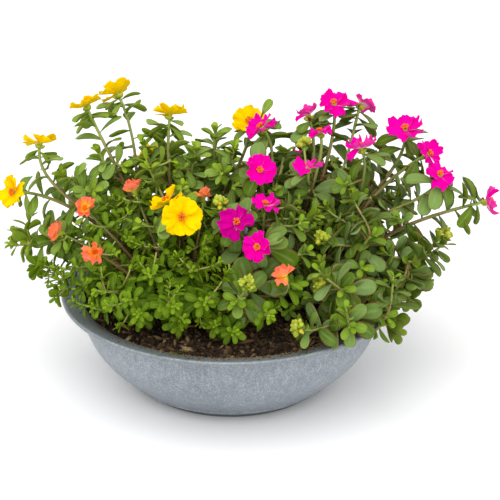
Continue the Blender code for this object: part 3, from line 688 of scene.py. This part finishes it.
# What a leaf keeps clear of: the edges of the planting's box, the soil and bowl, the blooms and their stalks
BOX_MARGIN = 2.0
SOIL_CLEARANCE = 2.0
RIM_CLEARANCE = 1.2
LOWEST_LEAF = 12.0
STALK_SPACE = 3.4
STALK_SHARES = np.linspace(0.45, 0.97, 16)
BLOOM_CLEARANCE = 1.0
BLOOM_DEPTHS = (-2.0, 20.0)
SEEN_MARGIN = 2.0
BACK_WAY = 0.55
MOST_SPOTS = 30000
low_edge = np.array(cad_box[0]) / MM - BOX_MARGIN
high_edge = np.array(cad_box[1]) / MM + BOX_MARGIN
blooming = [(PLANTS[stem.kind], tip) for stem in stems for _, tip in stem.blooms]
bloom_spots = np.array([on_sight_line(tip) for _, tip in blooming])
bloom_ways = unit([tip.faces for _, tip in blooming])
bloom_sizes = np.array([plant.bloom_radius * tip.size for plant, tip in blooming])
sight = unit(EYE - bloom_spots)
seen_long = unit(np.cross(sight, bloom_ways))
seen_short = np.cross(sight, seen_long)
seen_height = bloom_sizes * np.abs((sight * bloom_ways).sum(-1)) + SEEN_MARGIN
stalk_spots = np.concatenate([curve_between(*run[1:5], STALK_SHARES) for stem in stems for run in stem.runs
                              if run.tip.faces and run.tip.faces[1] < BACK_WAY])
stalk_sight = unit(EYE - stalk_spots)
taken_spots = np.zeros((MOST_SPOTS, 3))
taken_count = 0


def is_clear(spots, space):
    """Whether blade spots are clear of the bowl, the soil, other blades, and every bloom and what it faces.

    Seen from the front, a bloom is an ellipse that no nearer blade may lie in, unless it faces the back, and
    the stalks of the blooms stay in view too.
    """
    span = np.hypot(spots[:, 0], spots[:, 1])
    on_soil = soil_height(spots[:, 0], spots[:, 1]) + SOIL_CLEARANCE
    on_rim = np.where(span < RIM_RADIUS + 2, RIM_HEIGHT + RIM_CLEARANCE, LOWEST_LEAF)
    floor = np.where(span < COLLAR_INNER_RADIUS - 3, on_soil, on_rim)
    if (spots[:, 2] < floor).any() or (spots < low_edge).any() or (spots > high_edge).any():
        return False
    reach = np.abs(spots - spots[0]).max() + space
    close = taken_spots[:taken_count][(np.abs(taken_spots[:taken_count] - spots[0]) < reach).all(axis=1)]
    if (np.linalg.norm(close[:, None] - spots, axis=-1) < space).any():
        return False
    apart = spots[:, None] - stalk_spots
    toward = (apart * stalk_sight).sum(-1)
    off = np.linalg.norm(apart - stalk_sight * toward[..., None], axis=-1)
    if ((toward > 1.0) & (off < STALK_SPACE)).any():
        return False
    apart = spots[:, None] - bloom_spots
    ahead = (apart * bloom_ways).sum(-1)
    off = np.linalg.norm(apart - bloom_ways * ahead[..., None], axis=-1)
    before = (ahead > BLOOM_DEPTHS[0]) & (ahead < BLOOM_DEPTHS[1])
    if (before & (off < bloom_sizes + BLOOM_CLEARANCE)).any():
        return False
    toward = (apart * sight).sum(-1)
    seen = ((apart * seen_long).sum(-1) / bloom_sizes) ** 2
    seen = seen + ((apart * seen_short).sum(-1) / seen_height) ** 2
    return not ((toward > 0) & (seen < 1.0) & (bloom_ways[:, 1] < BACK_WAY)).any()


# The bends that a leaf tries in turn: more turn about the stem, more lift from it, and the share of size kept
LEAF_TRIES = ((0, 0, 1), (0.4, 0, 1), (-0.4, 0, 1), (0, 0.4, 1), (0.4, 0.4, 0.9), (-0.4, 0.4, 0.9),
              (0, -0.5, 0.9), (0.8, 0, 0.8), (-0.8, 0, 0.8))
LIGHT_PULL = (0, 0, 0.12)
UPPER_PULL = (0, 0, 0.5)


def grow_leaf(run, share, turn, lift, length, width, rng, space, young):
    """The first bend of a leaf that is clear of all, or None."""
    global taken_count
    base, tangent = run_point(run, share)
    first, second = side_frame(tangent, np.array([0.0, 0.0, 1.0]))
    arch, fold, twist = rng.uniform(0.3, 1.15), rng.uniform(0.08, 0.72), rng.uniform(-0.5, 0.5)
    for more_turn, more_lift, kept in LEAF_TRIES:
        outward = first * math.cos(turn + more_turn) + second * math.sin(turn + more_turn)
        rise = lift + more_lift
        along = unit(outward * math.cos(rise) + tangent * math.sin(rise) + LIGHT_PULL)
        upper = unit(tangent + UPPER_PULL - along * np.dot(tangent + UPPER_PULL, along))
        leaf = Leaf(base, along, upper, length * kept, width * kept, arch, fold, twist, young)
        spots = blade_spots(leaf)
        if is_clear(spots, space):
            taken_spots[taken_count:taken_count + len(spots)] = spots
            taken_count += len(spots)
            return leaf
    return None


# How a plant's tufts grow: the space between leaves and their number, and for each leaf down from the tip its
# growth, its opening in degrees, and the leaves after which none is young
Habit = namedtuple("Habit", "step tuft growth opening youth")
HABITS = {
    "yellow": Habit(1.9, 5, 0.075, 7, 7),
    "coral": Habit(1.25, 9, 0.05, 5, 11),
    "magenta": Habit(1.9, 5, 0.075, 7, 7),
}
ARC_SHARE = 1.08
BARE_SHARES = {"side shoot": 0.15, "main stem": 0.5, "fork": 0.3}
MOST_LEAVES = 30
WHORL_LEAVES = 5
SIDE_SHOOT_SIZE = 0.85
CROWDED_LEAVES = 8
LEAF_SPACES = (1.6, 2.3)


def leaves_on(run, rng, side_shoot):
    """The spiral of leaves along a run: full size down it, smaller and steeper in the tuft at its tip."""
    plant, habit = PLANTS[run.kind], HABITS[run.kind]
    length = np.linalg.norm(run.end - run.start) * ARC_SHARE
    turn = rng.uniform(0, 2 * math.pi)
    leaves = []
    leafy = run.tip.faces is None
    back = 1.0 if leafy else 1.8
    bare = BARE_SHARES["side shoot" if side_shoot else "main stem" if run.foot is not None else "fork"]
    stop = length * bare
    number = 0
    while back < length - stop and number < MOST_LEAVES:
        turn += GOLDEN_TURN
        if leafy:
            size = min(1.0, 0.34 + habit.growth * number) * rng.uniform(0.85, 1.08)
            lift = max(14, 72 - habit.opening * number) + rng.uniform(-10, 10)
            young = max(0.0, 1 - number / habit.youth)
        elif number < WHORL_LEAVES:
            size, lift, young = rng.uniform(0.62, 1.0), rng.uniform(-25, 12), 0.2
        else:
            size, lift, young = rng.uniform(0.8, 1.05), rng.uniform(5, 40), 0.1
        if side_shoot:
            size *= SIDE_SHOOT_SIZE
        leaf = grow_leaf(run, 1 - back / length, turn, math.radians(lift), plant.leaf_length * size,
                         plant.leaf_width * size, rng, LEAF_SPACES[number >= CROWDED_LEAVES], young)
        if leaf:
            leaves.append(leaf)
        back += habit.step * (1.0 if number < habit.tuft else 1.6 if leafy else 3.6)
        number += 1
    return leaves


leaf_sets = {stem.name: [] for stem in stems}
for stem in stems:
    leaf_rng = random.Random(stem.name)
    for run in stem.runs:
        leaf_sets[stem.name] += leaves_on(run, leaf_rng, False)

# The side shoots. Each plant fills in with short leafy shoots, which leave the stems below and end in a tuft.
# They grow one after another into spots that no leaf is near, and some end in a bunch of buds.
SHOOTS = {"yellow": 150, "coral": 150, "magenta": 190}
SHOOT_SPACE = {"yellow": 8.5, "coral": 7.0, "magenta": 8.5}
DOME_HEIGHT = 112.0
DOME_RADIUS = 152.0

# The leafy tips and the bunches of buds that can be made out: each one's picture point and its depth
LEAFY_TIPS = (
    ("magenta", (385, 252, -30), (398, 285, -20), (402, 246, -10), (372, 300, -72), (396, 306, -30),
     (378, 272, 10), (362, 268, -60), (386, 302, -40), (366, 332, -84), (396, 330, -48), (412, 300, -10),
     (446, 240, 0)),
    ("yellow", (14, 232, 14), (26, 244, 0), (38, 222, 40), (30, 216, 20), (246, 130, 50), (264, 108, 40)),
    ("magenta", (380, 285, -52), (392, 292, -34), (370, 290, -62), (388, 268, -15), (376, 304, -62),
     (400, 270, 0), (382, 322, -60), (396, 312, -35), (410, 285, 5), (370, 334, -84), (450, 254, 0)),
    ("yellow", (10, 244, 4)),
    ("coral", (48, 284, -30), (54, 298, -48), (36, 266, 0), (62, 270, -60), (72, 300, -70)),
)
BUD_TIPS = ((322, 286, -84), (247, 287, -109), (300, 328, -112), (325, 240, -50), (441, 237, -8),
            (222, 207, -60), (304, 148, 0))

SHOOT_REACHES = (8, 64)
SHOOT_RISE = 4
HIGH_STEM_PENALTY = 60
SHOOT_SLANT = 1.2
SHOOT_UPTURN = (0, 0, 0.8)
SHOOT_PULL = 0.3
SHOOT_GIRTHS = (0.8, 0.65)
TRIES_PER_SHOOT = 12
SPOT_SCATTER = 9
SHOOT_SEED = 77
shoot_rng = random.Random(SHOOT_SEED)
extra = {stem.name: [] for stem in stems}
knots = [(stem, run, share, run_point(run, share)[0]) for stem in stems for run in stem.runs
         for share in np.linspace(0.15, 0.95, 9)]


def grow_shoot(kind, spot, fewest=3):
    """One shoot to a spot from the nearest lower stem of its plant; or None if too few leaves grow on it."""
    own = [knot for knot in knots if knot[0].kind == kind]
    places = np.array([knot[3] for knot in own])
    higher = places[:, 2] > spot[2] - SHOOT_RISE
    apart = np.linalg.norm(places - spot, axis=1) + np.where(higher, HIGH_STEM_PENALTY, 0)
    stem, run, along, base = own[int(apart.argmin())]
    reach = np.linalg.norm(spot - base)
    if not SHOOT_REACHES[0] < reach < SHOOT_REACHES[1]:
        return None
    tangent = run_point(run, along)[1]
    heading = unit(unit(spot - base) + SHOOT_UPTURN)
    leaving = unit(tangent + SHOOT_SLANT * side_frame(tangent, spot - base)[0])
    root_radius, tip_radius = (PLANTS[kind].stem_tip * girth for girth in SHOOT_GIRTHS)
    shoot = Run(kind, base, leaving * SHOOT_PULL * reach, spot, -heading * SHOOT_PULL * reach, None,
                root_radius, tip_radius, Tip(0, 0, 0))
    leaves = leaves_on(shoot, shoot_rng, True)
    if len(leaves) < fewest:
        return None
    extra[stem.name].append(shoot)
    leaf_sets[stem.name] += leaves
    return shoot


def fill_plant(kind, count):
    """Shoots to spots between two points of the plant's stems, under a dome, wherever no leaf is near."""
    places = np.array([knot[3] for knot in knots if knot[0].kind == kind])
    for _ in range(count * TRIES_PER_SHOOT):
        first, second = shoot_rng.sample(range(len(places)), 2)
        share = shoot_rng.uniform(0.1, 0.9)
        spot = places[first] * share + places[second] * (1 - share)
        spot = spot + np.array([shoot_rng.gauss(0, SPOT_SCATTER) for _ in range(3)])
        span = math.hypot(spot[0], spot[1])
        floor = soil_height(spot[0], spot[1]) + 7 if span < COLLAR_INNER_RADIUS else RIM_HEIGHT + 6
        dome = DROOP_HEIGHT + DOME_HEIGHT * math.sqrt(max(0.0, 1 - (span / DOME_RADIUS) ** 2))
        near = np.linalg.norm(taken_spots[:taken_count] - spot, axis=1)
        if not floor < spot[2] < dome or near.min() < SHOOT_SPACE[kind]:
            continue
        if grow_shoot(kind, spot):
            count -= 1
        if count == 0:
            break


for kind, *tips in LEAFY_TIPS:
    for tip in tips:
        grow_shoot(kind, on_sight_line(Tip(*tip)))
bud_heads = [grow_shoot("magenta", on_sight_line(Tip(*tip)), 0) for tip in BUD_TIPS]
for kind, count in SHOOTS.items():
    fill_plant(kind, count)
for stem in stems:
    points, faces, ages = stem_mesh(stem.runs + extra[stem.name])
    make_piece(stem.name + "_stalks", points, faces, stem_skin, stem.kind + "_leaves", (stem.name,), age=ages)


def leaf_finish(name, deep, light, young_colour, margin, margin_share):
    """Leaf skin: grained green that varies from leaf to leaf, a paler midrib and a thin coloured edge."""
    skin = Finish(name, Specular_IOR_Level=0.05)
    mark = skin.attribute("mark", "Vector")
    u, edge_way, top_way = (skin.node("ShaderNodeSeparateXYZ", None, {0: mark}, output=k) for k in range(3))
    tone = skin.attribute("tone")
    grain = skin.noise(0.6, 4.0, 0.7)
    patch = skin.noise(6.0, 3.0)
    colour = skin.ramp(tone * 0.5 + patch * 0.35 + grain * 0.5, (0.38, deep), (0.94, light))
    colour = skin.mix(skin.attribute("young"), colour, young_colour)
    away = skin.node("ShaderNodeMath", {"operation": "ABSOLUTE"}, {0: edge_way})
    rib = skin.range(away, 0.0, 0.3, 0.35, 0.0) * skin.range(u, 0.7, 1.0, 1.0, 0.0)
    rib = rib * skin.range(top_way, 0, 0.3)
    colour = skin.mix(rib, colour, (light[0] + 0.1, light[1] + 0.1, light[2] + 0.05))
    under = skin.range(top_way, -0.2, 0.3, 0.45, 0.0)
    colour = skin.mix(under, colour, (light[0] * 0.8, light[1] * 0.72, light[2] * 0.15))
    rim = skin.range(away, 0.84, 0.99, 0.0, margin_share) * skin.range(u, 0.1, 0.4)
    colour = skin.mix(rim, colour, margin)
    skin.wear(Base_Color=colour, Roughness=skin.range(grain, 0.3, 0.7, 0.46, 0.6))
    skin.bump(grain * 0.7 + rib * 0.5, 0.3, 0.6)
    return skin


leaf_skins = {
    "yellow": leaf_finish("broad green leaf", (0.088, 0.178, 0.0002), (0.275, 0.405, 0.092),
                          (0.27, 0.41, 0.010), (0.22, 0.07, 0.03), 0.6),
    "coral": leaf_finish("small bright leaf", (0.036, 0.092, 0.0002), (0.155, 0.265, 0.014),
                         (0.20, 0.33, 0.008), (0.20, 0.15, 0.02), 0.25),
    "magenta": leaf_finish("grey green leaf", (0.066, 0.130, 0.0002), (0.20, 0.305, 0.096),
                           (0.21, 0.36, 0.010), (0.26, 0.06, 0.06), 0.85),
}
for stem in stems:
    leaves = leaf_sets[stem.name]
    points, mark = leaf_grid(leaves)
    each = len(LEAF_ROWS) * LEAF_AROUND
    tones = np.random.default_rng(len(leaves)).uniform(0, 1, len(leaves))
    make_piece(stem.name + "_leaves", points, closed_faces(len(leaves), len(LEAF_ROWS), LEAF_AROUND),
               leaf_skins[stem.kind], stem.kind + "_leaves", mark=mark, tone=np.repeat(tones, each),
               young=np.repeat([leaf.young for leaf in leaves], each))

# The blooms. Five broad petals, notched and ruffled at the end, each laid over its neighbour, on a green seat
# with a ring of buds; in the middle stands a tuft of orange stamens.
PETALS = 5
PETAL_RISE = math.radians(24)
PETAL_ROLL = math.radians(13)
# The petals glow faintly in their own colour: painted light in place of light shining through them.
PETAL_PAINTED_GLOW = 0.13
PETAL_ROWS = 12
PETAL_COLUMNS = 17
PETAL_THICKNESS = 0.22
PETAL_SHARES = {"yellow": 0.96, "coral": 0.88, "magenta": 0.77}
CUPS = {"yellow": -0.2, "coral": 0.3, "magenta": -0.22}
CRUMPLES = {"yellow": 1.0, "coral": 1.9, "magenta": 1.8}
# Painted shade over a whole bloom: much on the bloom listed here, and a random little, up to MOST_SHADE, on
# each other one.
BLOOMS_IN_PAINTED_SHADE = {"magenta_bloom_18": 0.85}
MOST_SHADE = 0.16
BLOOM_UP = np.array([0.3, 0.2, 1.0])
Bloom = namedtuple("Bloom", "name kind centre facing first second radius rng")


def petal_grid(bloom):
    """Five thin closed petals. Out: the length falls off to the sides, with a notch and cusps at the end.

    Across: widens as a sine. Height: a cup that flattens outwards, sides that turn up, and two ruffles that
    grow towards the end.
    """
    facing, rng, crumple = bloom.facing, bloom.rng, CRUMPLES[bloom.kind]
    turn = random.Random(bloom.name).uniform(0, 2 * math.pi) + 2 * math.pi * np.arange(PETALS) / PETALS
    rise = PETAL_RISE + CUPS[bloom.kind] + rng.uniform(-0.22, 0.22, PETALS) * crumple
    outward = np.cos(turn)[:, None] * bloom.first + np.sin(turn)[:, None] * bloom.second
    along = unit(outward * np.cos(rise)[:, None] + facing * np.sin(rise)[:, None])
    level = unit(np.cross(along, facing))
    raised = np.cross(level, along)
    across = level * math.cos(PETAL_ROLL) + raised * math.sin(PETAL_ROLL)
    upper = np.cross(across, along)
    u = np.linspace(0.06, 1, PETAL_ROWS)[None, :, None]
    v = np.linspace(-1, 1, PETAL_COLUMNS)[None, None, :]

    def draw(low, high):
        """A number for each petal."""
        return rng.uniform(low, high, (PETALS, 1, 1))

    end = 1 - draw(0.06, 0.16) * np.exp(-((v - draw(-0.15, 0.15)) / 0.13) ** 2) - 0.24 * np.abs(v) ** 3
    cusps = 0.035 * np.abs(np.sin(draw(4, 6) * v + draw(0, 6)))
    end = end + crumple * (cusps + 0.02 * np.sin(17 * v + draw(0, 6)))
    out = u * (end * u + (1 - u) * (1 - 0.1 * v * v))
    wide = 0.62 * np.sin(np.clip(u * 1.62, 0, 2.0)) ** 0.85 * v
    ruffle = crumple * draw(0.06, 0.11) * u**2 * np.sin(draw(4, 7) * v + draw(0, 6))
    ruffle = ruffle + crumple * draw(0.02, 0.045) * u**3 * np.sin(draw(10, 14) * v + draw(0, 6))
    curl = crumple * draw(-0.22, 0.2) * u**2.5 + draw(0.02, 0.16) * u * v**4
    height = ruffle + curl - 0.05 * np.sin(math.pi * u) * (1 - v * v) + 0.06 * v * v * u
    whole = np.ones_like(height)
    sheet = bloom.centre + bloom.radius * (along[:, None, None] * (out * whole)[..., None]
                                           + across[:, None, None] * (wide * whole)[..., None]
                                           + upper[:, None, None] * height[..., None])
    thick = upper[:, None, None] * PETAL_THICKNESS
    both = np.stack([sheet + thick, sheet - thick], axis=1)
    mark = np.stack(np.broadcast_arrays(u * whole, v, 0 * whole), axis=-1)
    return both, np.stack([mark + (0, 0, 1.0), mark], axis=1)


def sheet_faces(count, rows, columns):
    """Faces of thin closed sheets: an upper and a lower grid, and a band that joins their edges."""
    number = np.arange(rows * columns).reshape(rows, columns)
    quads = np.stack([number[:-1, :-1], number[1:, :-1], number[1:, 1:], number[:-1, 1:]], axis=-1)
    quads = quads.reshape(-1, 4)
    border = np.concatenate([number[0, :-1], number[:-1, -1], number[-1, :0:-1], number[:0:-1, 0]])
    following = np.roll(border, -1)
    size = rows * columns
    band = np.stack([border, following, following + size, border + size], axis=-1)
    one = np.concatenate([quads[:, ::-1], quads + size, band[:, ::-1]])
    return (np.arange(count)[:, None, None] * 2 * size + one).reshape(-1, 4).tolist()


def petal_finish(name, tip_colour, mid_colour, base_colour, back_colour, back_share,
                 stops=(0.12, 0.3, 0.75)):
    """Petal skin: colour from the base to the end, fine veins along it, painted shade where the petals fold
    and over whole blooms, a paler back, and a faint painted glow in the same colour.
    """
    skin = Finish(name, Specular_IOR_Level=0.02, Emission_Strength=PETAL_PAINTED_GLOW)
    mark = skin.attribute("mark", "Vector")
    u, v, top = (skin.node("ShaderNodeSeparateXYZ", None, {0: mark}, output=k) for k in range(3))
    colours = zip(stops, (base_colour, mid_colour, tip_colour))
    colour = skin.ramp(u + (skin.noise(2.0, 3.0) - 0.5) * 0.2, *colours)
    fan = skin.node("ShaderNodeCombineXYZ", None, {0: v * 7.0, 1: u * 0.5, 2: top})
    veins = skin.node("ShaderNodeTexNoise", None, {"Vector": fan, "Scale": 2.4, "Detail": 3.0})
    colour = skin.mix(skin.range(veins, 0.4, 0.75, 0.0, 0.22), colour, tuple(0.62 * c for c in tip_colour))
    back = skin.range(top, 0.4, 0.6, back_share, 0.0) * skin.range(u, 0.3, 0.65, 1.0, 0.08)
    # Painted shade: darker patches that follow the fold bumps, plus each bloom's painted shade from its shade
    # attribute.
    fold_bumps_and_shade = skin.noise(3.2, 3.0, 0.6)
    depth = skin.range(fold_bumps_and_shade, 0.45, 0.75, 0.0, 0.45) + skin.attribute("shade") * 0.8
    colour = skin.mix(depth, colour, tuple(0.5 * c for c in mid_colour))
    colour = skin.mix(back, colour, back_colour)
    # The emission in the petal's own colour is painted light, a faint glow for light that shines through.
    skin.wear(Base_Color=colour, Emission_Color=colour, Roughness=skin.range(veins, 0.3, 0.7, 0.5, 0.62))
    skin.bump(veins * 0.6 + fold_bumps_and_shade, 0.5, 0.8)
    return skin


petal_skins = {
    "yellow": petal_finish("yellow petal", (0.93, 0.60, 0.0), (0.93, 0.57, 0.0), (0.9, 0.42, 0.0),
                           (0.9, 0.62, 0.01), 0.4),
    "coral": petal_finish("coral petal", (0.96, 0.19, 0.12), (0.95, 0.33, 0.04), (0.95, 0.64, 0.006),
                          (0.95, 0.46, 0.20), 0.7, (0.28, 0.5, 0.85)),
    "magenta": petal_finish("magenta petal", (0.84, 0.0, 0.36), (0.82, 0.0, 0.37), (0.62, 0.0, 0.28),
                            (0.92, 0.50, 0.62), 0.95),
}
stamen_skin = Finish("stamens", Roughness=0.6, Specular_IOR_Level=0.3)
stamen_skin.wear(Base_Color=stamen_skin.ramp(stamen_skin.attribute("tone"), (0.0, (0.85, 0.36, 0.01)),
                                             (0.5, (0.86, 0.13, 0.005)), (1.0, (0.93, 0.25, 0.008))))
stamen_skin.bump(stamen_skin.noise(0.4, 3.0), 0.1)
sepal_skin = Finish("sepals and buds", Roughness=0.45, Specular_IOR_Level=0.4)
bud_tone = sepal_skin.attribute("tone") * 0.6 + sepal_skin.noise(1.6, 3.0) * 0.4
sepal_skin.wear(Base_Color=sepal_skin.ramp(bud_tone, (0.2, (0.20, 0.26, 0.01)), (0.6, (0.42, 0.49, 0.03)),
                                           (0.8, (0.55, 0.48, 0.03)), (0.92, (0.13, 0.004, 0.02))))
sepal_skin.bump(sepal_skin.noise(0.5, 3.0), 0.12)


def turned_grid(base, way, profile, sides):
    """Small turned shapes: each base carries the profile (radius, height) round its way; arrays of shapes."""
    base, way = np.atleast_2d(base), np.atleast_2d(way)
    near = np.where(np.abs(way[:, 2:]) < 0.9, [[0.0, 0.0, 1.0]], [[1.0, 0.0, 0.0]])
    side = unit(near - way * (near * way).sum(-1, keepdims=True))
    across = np.cross(way, side)
    turn = angles(sides)
    circle = np.cos(turn)[:, None] * side[:, None] + np.sin(turn)[:, None] * across[:, None]
    profile = np.asarray(profile, float)
    if profile.ndim == 2:
        profile = np.repeat(profile[None], len(base), axis=0)
    return (base[:, None, None] + way[:, None, None] * profile[:, :, 1, None, None]
            + circle[:, None] * profile[:, :, 0, None, None])


STAMENS = 46
STAMEN_SPREAD = 0.95
STAMEN_HEIGHTS = (0.2, 0.31)
THREAD_RADII = (0.13, 0.1)
THREAD_SIDES = 4
KNOB_PROFILE = np.array([(0.15, -0.5), (0.5, -0.2), (0.5, 0.25), (0.15, 0.55)])
KNOB_SIDES = 5
SEAT_PROFILE = np.array([(0.5, -4.0), (1.3, -3.7), (1.5, -2.4), (2.1, -0.8), (2.4, 0.4), (1.6, 1.2)])
SEAT_SIDES = 12
BUD_PROFILE = np.array([(0.35, 0.0), (0.8, 0.12), (1.0, 0.38), (0.85, 0.62), (0.42, 0.85), (0.06, 1.0)])
BUD_GIRTH = 0.34
BUD_SIDES = 8
BUD_NUMBERS = (6, 11)
BUD_LENGTHS = (3.0, 5.8)
BUD_TURN = 2.4
BUD_DROP = 3.9
BUD_SHARES = {"yellow": 1.0, "coral": 0.7, "magenta": 1.0}
DARK_BUD = {"yellow": 0.5, "coral": 1.6, "magenta": 1.6}


def make_petals(bloom):
    """The five petals of a bloom as one piece, each bloom darkened a little by painted shade and one of them
    much more.
    """
    points, mark = petal_grid(bloom)
    shade = BLOOMS_IN_PAINTED_SHADE.get(bloom.name, bloom.rng.uniform(0, MOST_SHADE))
    make_piece(bloom.name + "_petals", points, sheet_faces(PETALS, PETAL_ROWS, PETAL_COLUMNS),
               petal_skins[bloom.kind], bloom.kind + "_petals", (bloom.name,),
               mark=mark, shade=np.full(points.size // 3, shade))


def make_stamens(bloom):
    """A tuft of threads that lean out of the middle at random inside a cone, each with a knob at its end."""
    rng = bloom.rng
    lean = np.sqrt(rng.uniform(0, 1, STAMENS)) * STAMEN_SPREAD
    turn = rng.uniform(0, 2 * math.pi, STAMENS)
    outward = np.cos(turn)[:, None] * bloom.first + np.sin(turn)[:, None] * bloom.second
    ways = unit(bloom.facing + lean[:, None] * outward)
    tall = bloom.radius * rng.uniform(*STAMEN_HEIGHTS, STAMENS)
    low, high = (np.full(STAMENS, radius) for radius in THREAD_RADII)
    thread = np.stack([np.stack([low, 0 * tall], -1), np.stack([high, tall], -1)], 1)
    roots = bloom.centre + bloom.facing * 0.5 + ways * 0.4
    threads = turned_grid(roots, ways, thread, THREAD_SIDES)
    knobs = turned_grid(roots + ways * tall[:, None], ways, KNOB_PROFILE, KNOB_SIDES)
    points = np.concatenate([threads.reshape(-1, 3), knobs.reshape(-1, 3)])
    faces = closed_faces(STAMENS, 2, THREAD_SIDES)
    faces += closed_faces(STAMENS, len(KNOB_PROFILE), KNOB_SIDES, threads.size // 3)
    tones = np.concatenate([np.repeat(rng.uniform(0, 0.4, STAMENS), 2 * THREAD_SIDES),
                            np.repeat(rng.uniform(0.2, 1, STAMENS), len(KNOB_PROFILE) * KNOB_SIDES)])
    make_piece(bloom.name + "_stamens", points, faces, stamen_skin, bloom.kind + "_petals", tone=tones)


def bud_profiles(lengths, girth):
    """A bud's profile at each length, as broad as a share of it."""
    radius, height = BUD_PROFILE.T
    return np.stack([radius * girth * lengths[:, None], height * lengths[:, None]], axis=-1)


def make_seat(bloom):
    """The green seat under the petals, with a ring of buds round its foot; on coral and magenta blooms one of
    them is dark with colour.
    """
    rng = bloom.rng
    cup = turned_grid(bloom.centre, bloom.facing, SEAT_PROFILE, SEAT_SIDES)
    buds = int(rng.integers(*BUD_NUMBERS))
    turn = rng.uniform(0, 2 * math.pi) + np.arange(buds) * BUD_TURN
    ways = bloom.facing * 0.45 + np.cos(turn)[:, None] * bloom.first
    ways = unit(ways + np.sin(turn)[:, None] * bloom.second)
    lengths = rng.uniform(*BUD_LENGTHS, buds) * BUD_SHARES[bloom.kind]
    base = bloom.centre - bloom.facing * BUD_DROP
    knobs = turned_grid(base, ways, bud_profiles(lengths, BUD_GIRTH), BUD_SIDES)
    points = np.concatenate([cup.reshape(-1, 3), knobs.reshape(-1, 3)])
    faces = closed_faces(1, len(SEAT_PROFILE), SEAT_SIDES)
    faces += closed_faces(buds, len(BUD_PROFILE), BUD_SIDES, cup.size // 3)
    bud_tones = rng.uniform(0, 0.9, buds)
    bud_tones[0] = DARK_BUD[bloom.kind]
    tones = np.append(np.full(cup.size // 3, 0.5), np.repeat(bud_tones, len(BUD_PROFILE) * BUD_SIDES))
    make_piece(bloom.name + "_seat", points, faces, sepal_skin, bloom.kind + "_leaves", tone=tones)


for stem in stems:
    for name, tip in stem.blooms:
        facing = unit(tip.faces)
        radius = PLANTS[stem.kind].bloom_radius * tip.size * PETAL_SHARES[stem.kind]
        bloom = Bloom(name, stem.kind, on_sight_line(tip), facing, *side_frame(facing, BLOOM_UP), radius,
                      np.random.default_rng(int(name[-2:]) * 7))
        make_petals(bloom)
        make_stamens(bloom)
        make_seat(bloom)

# The bud heads. Bunches of small unopened buds, crowded on the end of a shoot among its youngest leaves.
HEAD_BUDS = 26
HEAD_BUD_GIRTH = 0.42
HEAD_BUD_SIDES = 7
HEAD_SEED = 300
points, faces, tones, total = [], [], [], 0
for number, shoot in enumerate(shoot for shoot in bud_heads if shoot):
    rng = np.random.default_rng(HEAD_SEED + number)
    way = run_point(shoot, 0.99)[1]
    ways = unit(way * 0.5 + rng.normal(size=(HEAD_BUDS, 3)) * 0.62)
    spots = shoot.end + ways * rng.uniform(1.2, 4.2, (HEAD_BUDS, 1)) + way * 2.4
    lengths = rng.uniform(3.2, 5.2, HEAD_BUDS)
    knobs = turned_grid(spots, ways, bud_profiles(lengths, HEAD_BUD_GIRTH), HEAD_BUD_SIDES)
    faces += closed_faces(HEAD_BUDS, len(BUD_PROFILE), HEAD_BUD_SIDES, total)
    total += knobs.size // 3
    points.append(knobs.reshape(-1, 3))
    tones.append(np.repeat(rng.uniform(0.2, 1.0, HEAD_BUDS), len(BUD_PROFILE) * HEAD_BUD_SIDES))
make_piece("magenta_bud_heads", np.concatenate(points), faces, sepal_skin, "magenta_leaves",
           tone=np.concatenate(tones))

# The stage. A plain pale floor, soft light from all round with a broad lamp above and a weaker one in front,
# and the camera at the photograph's angle.
FLOOR_HALF = 9
SKY_STRENGTH = 0.92
SENSOR = 36.0
PICTURE_SIZE = 500.0
floor_mesh = bpy.data.meshes.new("floor")
corners = [(x * FLOOR_HALF, y * FLOOR_HALF, 0) for x, y in ((-1, -1), (1, -1), (1, 1), (-1, 1))]
floor_mesh.from_pydata(corners, [], [(0, 1, 2, 3)])
floor = bpy.data.objects.new("floor", floor_mesh)
bpy.context.scene.collection.objects.link(floor)
pale = Finish("pale floor", Base_Color=(0.97, 0.97, 0.97, 1), Roughness=0.9, Specular_IOR_Level=0.1)
floor_mesh.materials.append(pale.material)

world = bpy.data.worlds.new("studio")
world.use_nodes = True
sky = world.node_tree.nodes["Background"].inputs
sky["Color"].default_value = (1.0, 1.0, 1.0, 1.0)
sky["Strength"].default_value = SKY_STRENGTH
bpy.context.scene.world = world
bpy.context.scene.view_settings.view_transform = "Standard"


def soft_sun(name, way, softness, strength):
    """A wide sun that shines along a direction, with its softness as an angle in degrees."""
    light = bpy.data.lights.new(name, "SUN")
    light.angle = math.radians(softness)
    light.energy = strength
    lamp = bpy.data.objects.new(name, light)
    lamp.rotation_euler = Vector(way).to_track_quat("-Z", "Y").to_euler()
    bpy.context.scene.collection.objects.link(lamp)


soft_sun("key", (0.2, 0.45, -1.0), 60, 1.35)
soft_sun("front", (-0.3, 1.0, -0.45), 50, 0.45)

camera_data = bpy.data.cameras.new("camera")
camera_data.sensor_width = SENSOR
camera_data.lens = PIXELS_PER_MM * SIGHT_RANGE * SENSOR / PICTURE_SIZE
camera = bpy.data.objects.new("camera", camera_data)
camera.location = EYE * MM
camera.rotation_euler = (math.pi / 2 - SIGHT_TILT, 0, 0)
bpy.context.scene.collection.objects.link(camera)
bpy.context.scene.camera = camera
